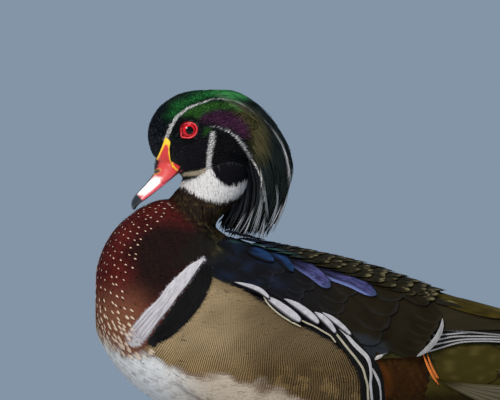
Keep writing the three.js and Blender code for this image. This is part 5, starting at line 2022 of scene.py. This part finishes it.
def tail():
    fans = (
        ("tail_vanes", "tail", (7, 12, TAIL_LENGTH, 0.88, 8.5, SQUARE, 0, -1.1, tail_colour, 22)),
        ("upper_tail_coverts", "tail_coverts_upper", (4, 6, 50, 0.6, 7, ROUNDED, 2.2, 0.8, upper_colour)),
        ("under_tail_coverts", "tail_coverts_under", (4, 8, 72, 0.6, 8, ROUNDED, -13.5, 0.6, under_colour)),
    )
    for name, node, measures in fans:
        make_coat(name, fan(*measures), tail_feather, [node])


# The tail's sides: long coverts that hang beside and under its root.
TAIL_SIDE = [
    [95, 118, 46, 88, 33],
    [106, 116, 45, 86, 30],
    [120, 112, 45.5, 84, 25],
    [135, 108, 48, 82, 20],
    [150, 104, 53, 80, 15],
    [165, 100, 60, 79, 10.5],
    [180, 96, 68, 78, 7],
]
TAIL_SIDE_ROWS = (
    ([(424, 386), (450, 402), (478, 414)], [(424, 350), (462, 358), (505, 364)], 5, 6.5, (-7, 0.4)),
    ([(446, 388), (480, 402), (508, 408)], [(446, 350), (490, 354), (545, 360)], 6, 6.5, (-5, 0.8)),
)
PALE_SIDE_FIRST = [(434, 377), (456, 389), (478, 400), (500, 410)]
PALE_SIDE_LAST = [(442, 379), (470, 384), (500, 386), (530, 389)]
PALE_SIDE_COUNT = 16


def side_olive_colour(who, t, v, p):
    streak = smooth(0.1, 0.9, ripple(p @ TAIL_STREAKS, 2.0, 23))
    colour = mix(all_over(SIDE_OLIVE, p), OLIVE_LIGHT, 0.5 * streak)
    # Darker low down: the undertail coverts' own dark colour and painted shade under the tail's side.
    return mix(colour, OLIVE_DARK_AND_SHADE, smooth(66, 58, p[:, 2]))


def pale_side_colour(who, t, v, p):
    light = 0.3 + 0.7 * np.sin(who * 2.1) ** 2
    return mix(all_over(SIDE_OLIVE, p), PALE_SIDE, light * smooth(0.05, 0.4, t))


def tail_side(name, side):
    slices = through(TAIL_SIDE)
    parts = []
    for first, last, count, half, heights in TAIL_SIDE_ROWS:
        parts.append(row(side, first, last, count, half, heights, ROUNDED, side_olive_colour, slices=slices))
    lines = between(PALE_SIDE_FIRST, PALE_SIDE_LAST, PALE_SIDE_COUNT)
    halves = [0.75] * PALE_SIDE_COUNT
    parts.append(strokes(side, lines, halves, raised(0.2, 1.7, 0, 0.2), LEAF, pale_side_colour, 0.3,
                         slices=slices, rows=20, across=FEW_ACROSS))
    make_coat(f"tail_side_vanes_{name}", joined(parts), tail_feather)


# Bill and eyes

LOBE_FRONT = [(166.2, 137.5), (164.2, 144), (162.6, 149), (159.6, 158), (158, 165), (158.6, 174), (164, 184)]
LOBE_REAR = [(166.6, 137.5), (170.8, 142), (170.4, 149), (171.2, 157), (173.6, 164.6), (177, 169), (181, 172)]
LOBE_RAISED = 0.8
LOBE_DEEP = 1.2
HORN_LOOK = {"Roughness": 0.36, "Coat Weight": 0.2, "Coat Roughness": 0.25}


def in_head_plane(points):
    """Head-frame y and z of points of the photograph."""
    q = head_photo(points) - HEAD_AT[1:]
    c, s = math.cos(HEAD_PITCH), math.sin(HEAD_PITCH)
    return np.column_stack([c * q[:, 0] + s * q[:, 1], c * q[:, 1] - s * q[:, 0]])


BARE_LOBE = np.vstack([in_head_plane(LOBE_FRONT), in_head_plane(LOBE_REAR)[::-1]])


def side_reach(table, y, z):
    """How far out the surface of egg-shaped slices lies at places seen from the side."""
    top, bottom, wide, half = np.moveaxis(through(table)(y), -1, 0)
    height = np.maximum(np.where(z > wide, top - wide, wide - bottom), 0.01)
    return half * np.sqrt(np.maximum(1 - ((z - wide) / height) ** 2, 0))


def lobes(material):
    """Bare skin that runs from the bill up beside the forehead."""
    front = spline(in_head_plane(LOBE_FRONT))
    rear = spline(in_head_plane(LOBE_REAR))
    t = np.linspace(0, 1, 48)
    across = np.linspace(0, 1, 16)
    yz = lerp(front(t)[:, None], rear(t)[:, None], across[None, :, None])
    y, z = yz[..., 0], yz[..., 1]
    reach = np.maximum.reduce([side_reach(table, y, z) for table in (HEAD, UPPER_BILL, LOWER_BILL)])
    puff = LOBE_RAISED * (1 - np.abs(2 * across - 1) ** 3)[None] * (1 - 0.5 * t[:, None])
    for name, side in SIDES:
        upper = xyz(side * (reach + 0.1 + puff), y, z)
        under = xyz(side * (reach - LOBE_DEEP), y, z)
        points, faces = loft(np.concatenate([upper, under[:, ::-1]], 1))
        points = out_of_head(points)
        make(f"bill_lobe_{name}", points, faces, material, bill_colours(points))


BILL_RED = (0.5, 0.02, 0.016)
BILL_PINK_HIGHLIGHT = (0.52, 0.05, 0.045)
BILL_CRIMSON = (0.5, 0.05, 0.085)
BILL_YELLOW = (0.85, 0.5, 0.02)
BILL_BLACK = (0.01, 0.011, 0.014)
BILL_WHITE = (0.86, 0.8, 0.78)
NOSTRIL_RIM = (0.6, 0.35, 0.08)
NOSTRIL_HOLLOW_SHADE = (0.02, 0.008, 0.006)
BILL_BORDER = head_photo([(168, 140), (170.4, 146), (170.2, 153), (172, 160), (174.6, 166.6), (179.5, 171)])
BILL_FRONT_BORDER = head_photo([(164, 145), (161.6, 152), (159.4, 161)])
YELLOW_TOP = head_photo([
    (165.6, 136), (171.6, 141), (171.6, 149), (169.6, 149), (167.8, 144.6), (165.6, 145), (162.6, 152),
    (161, 152), (163, 144),
])
BILL_PATCH = head_photo([
    (158, 176.4), (163, 178), (161, 183), (153, 190.4), (146, 195), (139.6, 195.4), (140, 190), (147, 183),
])
BILL_HIGHLIGHT_PATCH = head_photo([(163, 160), (170, 164), (172, 172), (166, 180), (158, 178), (160, 168)])


def bill_colours(p):
    q = unturned(p)[:, 1:]
    local = into_head(p)
    colour = all_over(BILL_RED, p)
    # Painted highlight: a paler pink patch in the middle of the bill's side.
    colour = mix(colour, BILL_PINK_HIGHLIGHT, 0.75 * patch_mask(q, BILL_HIGHLIGHT_PATCH, 2.2))
    colour = mix(colour, BILL_WHITE, patch_mask(q, BILL_PATCH, 1.4))
    colour = mix(colour, BILL_CRIMSON, smooth(-14.7, -16.1, local[:, 2]) * 0.8)
    colour = mix(colour, BILL_YELLOW, patch_mask(q, YELLOW_TOP, 0.5))
    colour = mix(colour, BILL_YELLOW, stripe(q, BILL_BORDER, (1.0, 0.6, 0.6, 0.6, 0.55, 0.3), 0.25))
    colour = mix(colour, BILL_YELLOW, stripe(q, BILL_FRONT_BORDER, (0.8, 0.6, 0.4), 0.3))
    upper = through(UPPER_BILL)(local[:, 1])
    ridge = smooth(2.6, 1.9, np.abs(local[:, 0])) * smooth(-19, -22, local[:, 1])
    ridge = ridge * (local[:, 2] > upper[:, 2])
    colour = mix(colour, BILL_BLACK, ridge)
    colour = mix(colour, BILL_BLACK, smooth(-45.2, -46.4, local[:, 1]))
    away = np.linalg.norm((local - NOSTRIL_AT) * np.array([0, 0.42, 0.8]), axis=1)
    colour = mix(colour, NOSTRIL_RIM, 0.5 * smooth(1.25, 0.95, away))
    # Painted shade in the nostril's hollow.
    return mix(colour, NOSTRIL_HOLLOW_SHADE, smooth(0.8, 0.6, away))


def bill():
    material = mottled_material("bill_horn", 700, 3, 0.22, 0.89, 0.25, 0.0003, HORN_LOOK)
    lobes(material)
    halves = (("bill_upper", UPPER_BILL, 90, 72), ("bill_lower", LOWER_BILL, 60, 48))
    for name, table, rows, columns in halves:
        slices = through(table)
        y = lerp(table[0][0], table[-1][0], np.sin(np.linspace(0, np.pi / 2, rows)))
        angle = all_round(columns)
        rings = egg(slices, y[:, None], angle[None], 0)
        if name == "bill_upper":
            for side in (1, -1):
                away = (rings - NOSTRIL_AT * np.array([side, 1, 1])) / np.array([3, 1.7, 0.9])
                dent = np.exp(-((away**2).sum(-1)))
                rings[..., 0] -= side * 1.5 * dent
        points, faces = loft(rings)
        points = out_of_head(points)
        colours = bill_colours(points)
        if name == "bill_lower":
            local = into_head(points)
            above = smooth(-38, -30, local[:, 1])
            # Painted shade: the lower bill is coloured near black, dark crimson toward its root, as the shade
            # under the upper bill.
            colours = mix(all_over(BILL_BLACK, points), np.array(BILL_CRIMSON) * 0.3, above)
        piece = make(f"{name}_horn", points, faces, material, colours)
        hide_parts(name)


WET_LOOK = {"Roughness": 0.3, "Specular IOR Level": 0.0, "Coat Weight": 0.4, "Coat Roughness": 0.03}


def eye_material():
    material, tree, shader = nodes_of("wet_eye")
    link(tree, attribute_node(tree, "Tint").outputs["Color"], shader.inputs["Base Color"])
    set_inputs(shader, WET_LOOK)
    return material


LID_RED = (0.52, 0.01, 0.018)
IRIS_RED = (0.42, 0.006, 0.012)
PUPIL_BLACK = (0.002, 0.002, 0.002)
IRIS_RIM = (0.12, 0.003, 0.005)


def eyes():
    wet = eye_material()
    lid = mottled_material("lid_skin", 1500, 2, 0.4, 0.8, 0.5, 0.0003, {"Roughness": 0.45})
    for name, side in SIDES:
        turn = all_round(64)
        out = np.radians(np.concatenate([[0.5], np.linspace(4, 100, 60)]))
        x = EYE_OUT + EYE_RADIUS * np.cos(out)[:, None] + 0 * turn
        y = EYE_RADIUS * np.sin(out)[:, None] * np.cos(turn)
        z = EYE_RADIUS * np.sin(out)[:, None] * np.sin(turn)
        rings = xyz(side * x, y, z)
        points, faces = loft(rings)
        far = np.hypot(points[:, 1], points[:, 2])
        streak = 1 + 0.25 * np.sin(np.arctan2(points[:, 2], points[:, 1]) * 40)
        colours = np.array(IRIS_RED)[None] * (streak * lerp(1.25, 0.7, smooth(2.4, 4.2, far)))[:, None]
        colours = mix(colours, PUPIL_BLACK, smooth(*PUPIL_EDGE, far))
        colours = mix(colours, IRIS_RIM, smooth(*IRIS_EDGE, far))
        piece = make(f"eyeball_{name}", out_of_head(points), faces, wet, colours)
        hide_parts(f"eye_{name}")
        make_lid(name, side, lid)


def make_lid(name, side, material):
    """The bare red ring, drawn out to a point in front."""
    turn = all_round(96)
    front = np.exp(-((np.angle(np.exp(1j * (turn - np.pi - 0.1)))) / 0.3) ** 2)
    y = (LID_HALVES[0] + 1.0 * front) * np.cos(turn)
    z = (LID_HALVES[1] + 0.8 * front) * np.sin(turn)
    top, bottom, wide, half = np.moveaxis(head_slice(y), -1, 0)
    height = np.where(z > wide, top - wide, wide - bottom)
    x = half * np.sqrt(1 - ((z - wide) / height) ** 2) + 0.5
    ahead = np.stack([np.gradient(y), np.gradient(z)], -1)
    ahead = unit(ahead)
    outward = np.stack([ahead[:, 1], -ahead[:, 0]], -1)
    tube = all_round(14)
    thick = LID_THICK + 0.03 * np.sin(turn * 9)
    ring_x = x[:, None] + 0.85 * thick[:, None] * np.sin(tube)
    ring_y = y[:, None] + outward[:, :1] * thick[:, None] * np.cos(tube) * LID_BROAD
    ring_z = z[:, None] + outward[:, 1:] * thick[:, None] * np.cos(tube) * LID_BROAD
    points = xyz(side * ring_x, ring_y, ring_z).reshape(-1, 3)
    faces = grid_faces(96, 14, True, True)
    if side < 0:
        faces = faces[:, ::-1]
    # Painted shade: the ring's side turned in toward the head is darker than its outer side.
    fold = np.tile(np.sin(tube), 96)
    colours = np.array(LID_RED)[None] * (0.75 + 0.25 * fold)[:, None]
    make(f"lid_{name}", out_of_head(points), faces, material, colours)


# Legs

def leg_material():
    """Small scales over a tint, with darker lines between them."""
    material, tree, shader = nodes_of("leg_scales")
    cells = tree.nodes.new("ShaderNodeTexVoronoi")
    cells.feature = "DISTANCE_TO_EDGE"
    cells.inputs["Scale"].default_value = 800
    coords = tree.nodes.new("ShaderNodeTexCoord")
    link(tree, coords.outputs["Object"], cells.inputs["Vector"])
    edge = number_node(tree, "MULTIPLY", cells.outputs["Distance"], 6, clamp=True)
    tinted(tree, shader, times_plus(tree, edge, 0.45, 0.55))
    bumped(tree, shader, edge, 0.5, 0.0003)
    set_inputs(shader, {"Roughness": 0.5})
    return material


LEG_YELLOW = (0.36, 0.23, 0.07)
JOINT_DARK = (0.12, 0.075, 0.03)
WEB_BROWN = (0.1, 0.07, 0.03)
CLAW_HORN = (0.02, 0.016, 0.012)
SCUTE_LENGTH = 2.1
WEB_UNDER = 0.12
UP = np.array([0, 0, 1])
HIND_TOE = (11, 168, 1.5)
KNUCKLE_Z = 3.4
KNUCKLE = [
    [-3.4, 0, 0, 0, 0],
    [-2.4, 2.3, -2.3, 0, 2.3],
    [0, 3.3, -3.2, 0, 3.3],
    [2.4, 2.3, -2.3, 0, 2.3],
    [3.4, 0, 0, 0, 0],
]


def foot_at(side, z):
    """The middle of a foot, at a height."""
    return np.array([side * LEG_X, FOOT_Y, z])


def shank(side):
    """The leg from the ankle to the toes, with plates down its front."""
    t = np.linspace(0, 1, 72)
    angle = all_round(32)
    radius = SHANK_RADIUS * np.interp(t, (0, 0.1, 0.25, 0.75, 0.9, 1), (1.2, 1.45, 1, 1, 1.25, 1.2))
    ankle = np.array([side * LEG_X, FOOT_Y + SHANK_BACK, ANKLE_Z])
    foot_joint = foot_at(side, FOOT_JOINT_Z)
    down = unit(foot_joint - ankle)
    ahead = unit(np.cross(down, np.array([1.0, 0, 0])))
    length = np.linalg.norm(foot_joint - ankle)
    front = np.maximum(np.cos(angle), 0)[None] ** 0.5
    plate = np.abs(np.sin(np.pi * t * length / SCUTE_LENGTH))[:, None] ** 0.4
    reach = radius[:, None] + 0.16 * front * plate
    middle = lerp(ankle, foot_joint, t[:, None])
    outward = np.cos(angle)[:, None] * ahead + np.sin(angle)[:, None] * np.array([1.0, 0, 0])
    points = middle[:, None] + reach[..., None] * outward
    colours = lerp(np.array(JOINT_DARK), np.array(LEG_YELLOW), (lerp(1, plate, front) ** 2)[..., None])
    return points, colours


def toe_ways(side, spread):
    """Directions along a toe and across it."""
    turn = math.radians(spread) * side
    return np.array([math.sin(turn), -math.cos(turn), 0]), np.array([math.cos(turn), math.sin(turn), 0])


def toe(side, length, spread, radius):
    """A toe that lies on the floor, flat underneath, with plates across its top."""
    way, across = toe_ways(side, spread)
    t = np.linspace(0, 1, 80)
    angle = all_round(24)
    half = radius * np.interp(t, (0, 0.45, 0.85, 0.93, 1), (1.1, 0.95, 0.75, 0.5, 0.2))
    joints = sum(np.exp(-(((t - at) / 0.05) ** 2)) for at in (0.3, 0.58, 0.8))
    half = (half * (1 + 0.1 * joints))[:, None]
    plate = np.abs(np.sin(np.pi * t * length / SCUTE_LENGTH))[:, None] ** 0.4
    up = np.maximum(np.sin(angle), 0)[None]
    z = half * (0.7 + np.where(np.sin(angle) > 0, 1.1, 0.7) * np.sin(angle)) + 0.14 * plate * up
    middle = foot_at(side, 0) + way * (t * length)[:, None]
    points = middle[:, None] + across * (half * np.cos(angle))[..., None] + UP * z[..., None]
    colours = lerp(np.array(JOINT_DARK), np.array(LEG_YELLOW), (lerp(1, plate, up**0.5) ** 2)[..., None])
    return points, colours


def claw(side, length, spread, radius):
    way, across = toe_ways(side, spread)
    t = np.linspace(0, 1, 16)
    angle = all_round(14)
    half = radius * 0.42 * np.sqrt(1 - t**2 * 0.98)
    high = radius * 0.75 - radius * 0.6 * t**2
    middle = foot_at(side, 0) + way * (length - 2 + 4 * t)[:, None] + UP * high[:, None]
    round_it = across * (half[:, None] * np.cos(angle))[..., None]
    return middle[:, None] + round_it + UP * (1.1 * half[:, None] * np.sin(angle))[..., None]


def web(side):
    """The skin between the toes, a thin sheet with a hollow rim and small folds."""
    bearing = np.radians(np.linspace(TOE_SPREAD[0], TOE_SPREAD[-1], 61))
    between_toes = 1 - np.abs(np.linspace(-1, 1, 61) % 1 * 2 - 1)
    reach = 0.86 * np.interp(np.linspace(0, 2, 61), (0, 1, 2), TOE_LENGTHS)
    reach = reach * (1 - 0.17 * np.sqrt(np.maximum(1 - (1 - between_toes) ** 2, 0)))
    t = np.linspace(0.02, 1, 40)[:, None]
    x = side * (LEG_X + t * reach * np.sin(bearing))
    y = FOOT_Y + 1.5 * (1 - t) - t * reach * np.cos(bearing)
    fold = 0.12 * np.sin(bearing * 60) * t * between_toes
    upper = xyz(x, y, 0.95 + fold - 0.35 * t**3)
    under = xyz(x, y, WEB_UNDER)
    return np.concatenate([upper, under[:, ::-1]], 1)


def legs():
    material = leg_material()
    for name, side in SIDES:
        rings, colours = shank(side)
        points, faces = loft(rings)
        colours = np.vstack([colours.reshape(-1, 3), np.tile(LEG_YELLOW, (2, 1))])
        piece = make(f"shank_scales_{name}", points, faces, material, colours)
        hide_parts(f"shank_{name}")
        toes = [(length, spread, TOE_RADIUS) for length, spread in zip(TOE_LENGTHS, TOE_SPREAD)] + [HIND_TOE]
        shapes = []
        tints = []
        for each in toes:
            rings, colours = toe(side, *each)
            shapes.append(loft(rings))
            tints += [colours.reshape(-1, 3), np.tile(LEG_YELLOW, (2, 1))]
        sheet = loft(web(side))
        shapes.append(sheet)
        tints.append(all_over(WEB_BROWN, sheet[0]))
        knuckle = egg_loft(through(KNUCKLE), KNUCKLE[0][0], KNUCKLE[-1][0], 0, 24, 28)
        shapes.append((knuckle[0] + foot_at(side, KNUCKLE_Z), knuckle[1]))
        tints.append(all_over(LEG_YELLOW, knuckle[0]))
        points, faces = together(shapes)
        piece = make(f"foot_scales_{name}", points, faces, material, np.vstack(tints))
        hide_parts(f"foot_{name}")
        points, faces = together([loft(claw(side, *each)) for each in toes])
        make(f"claws_{name}", points, faces, material, all_over(CLAW_HORN, points))


# The scene

FLOOR_RADIUS = 1.6
FLOOR_GREY = (0.5, 0.52, 0.54, 1)
SKY_BLUE = (0.46, 0.6, 0.78, 1)
SKY_STRENGTH = 0.5
LAMPS_AIM = (0, 0, 0.13)
LAMPS = (
    # name, place in metres, size, watts, colour, whether its glint shows
    ("key", (1.6, -0.8, 1.15), 0.8, 48, (1.0, 0.95, 0.88), True),
    ("fill", (1.5, 1.8, 0.8), 1.5, 7, (0.9, 0.95, 1), False),
    ("top", (0.1, 0.2, 1.8), 0.6, 8, (1, 1, 1), True),
    ("back", (-1.5, 0.4, 0.9), 0.6, 12, (1, 1, 1), False),
)


def stage():
    bpy.ops.mesh.primitive_circle_add(vertices=96, radius=FLOOR_RADIUS, fill_type="NGON", location=(0, 0, 0))
    floor = bpy.context.object
    floor.name = "floor"
    material, tree, shader = nodes_of("pale_floor")
    set_inputs(shader, {"Base Color": FLOOR_GREY, "Roughness": 0.8})
    floor.data.materials.append(material)

    scene = bpy.context.scene
    world = bpy.data.worlds.new("studio")
    scene.world = world
    world.use_nodes = True
    set_inputs(world.node_tree.nodes["Background"], {"Color": SKY_BLUE, "Strength": SKY_STRENGTH})

    for name, place_at, size, power, colour, glint in LAMPS:
        data = bpy.data.lights.new(name, "AREA")
        data.shape = "DISK"
        data.size = size
        data.energy = power
        data.color = colour
        light = bpy.data.objects.new(name, data)
        light.location = place_at
        light.visible_glossy = glint
        light.rotation_euler = (Vector(LAMPS_AIM) - light.location).to_track_quat("-Z", "Y").to_euler()
        scene.collection.objects.link(light)

    lens = bpy.data.cameras.new("camera")
    lens.sensor_width = SENSOR
    lens.lens = SENSOR * CAMERA_AWAY / (PICTURE_WIDTH * MM)
    lens.clip_end = 50
    camera = bpy.data.objects.new("camera", lens)
    camera.location = (CAMERA_AWAY, SHIFT_Y, PICTURE_CENTRE_Z * MM)
    camera.rotation_euler = (math.pi / 2, 0, math.pi / 2)
    scene.collection.objects.link(camera)
    scene.camera = camera
    scene.view_settings.view_transform = "Standard"


skin_across, skin_strength = flank_bands(skin_points)
skin = make("skin", skin_points, skin_faces, down_skin, all_colours(skin_points),
            numbers={"Across": skin_across, "Strength": skin_strength})
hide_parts("head", "neck", "breast", "torso", "rump", "thigh_left", "thigh_right")
head_coat()
neck_coat()
body_coat()
spots()
crest_coat()
for side_name, side_sign in SIDES:
    side_bars(side_name, side_sign)
    wing(side_name, side_sign)
    scapulars(side_name, side_sign)
    flank(side_name, side_sign)
    side_strands(side_name, side_sign)
    tail_side(side_name, side_sign)
tail()
bill()
eyes()
legs()
stage()
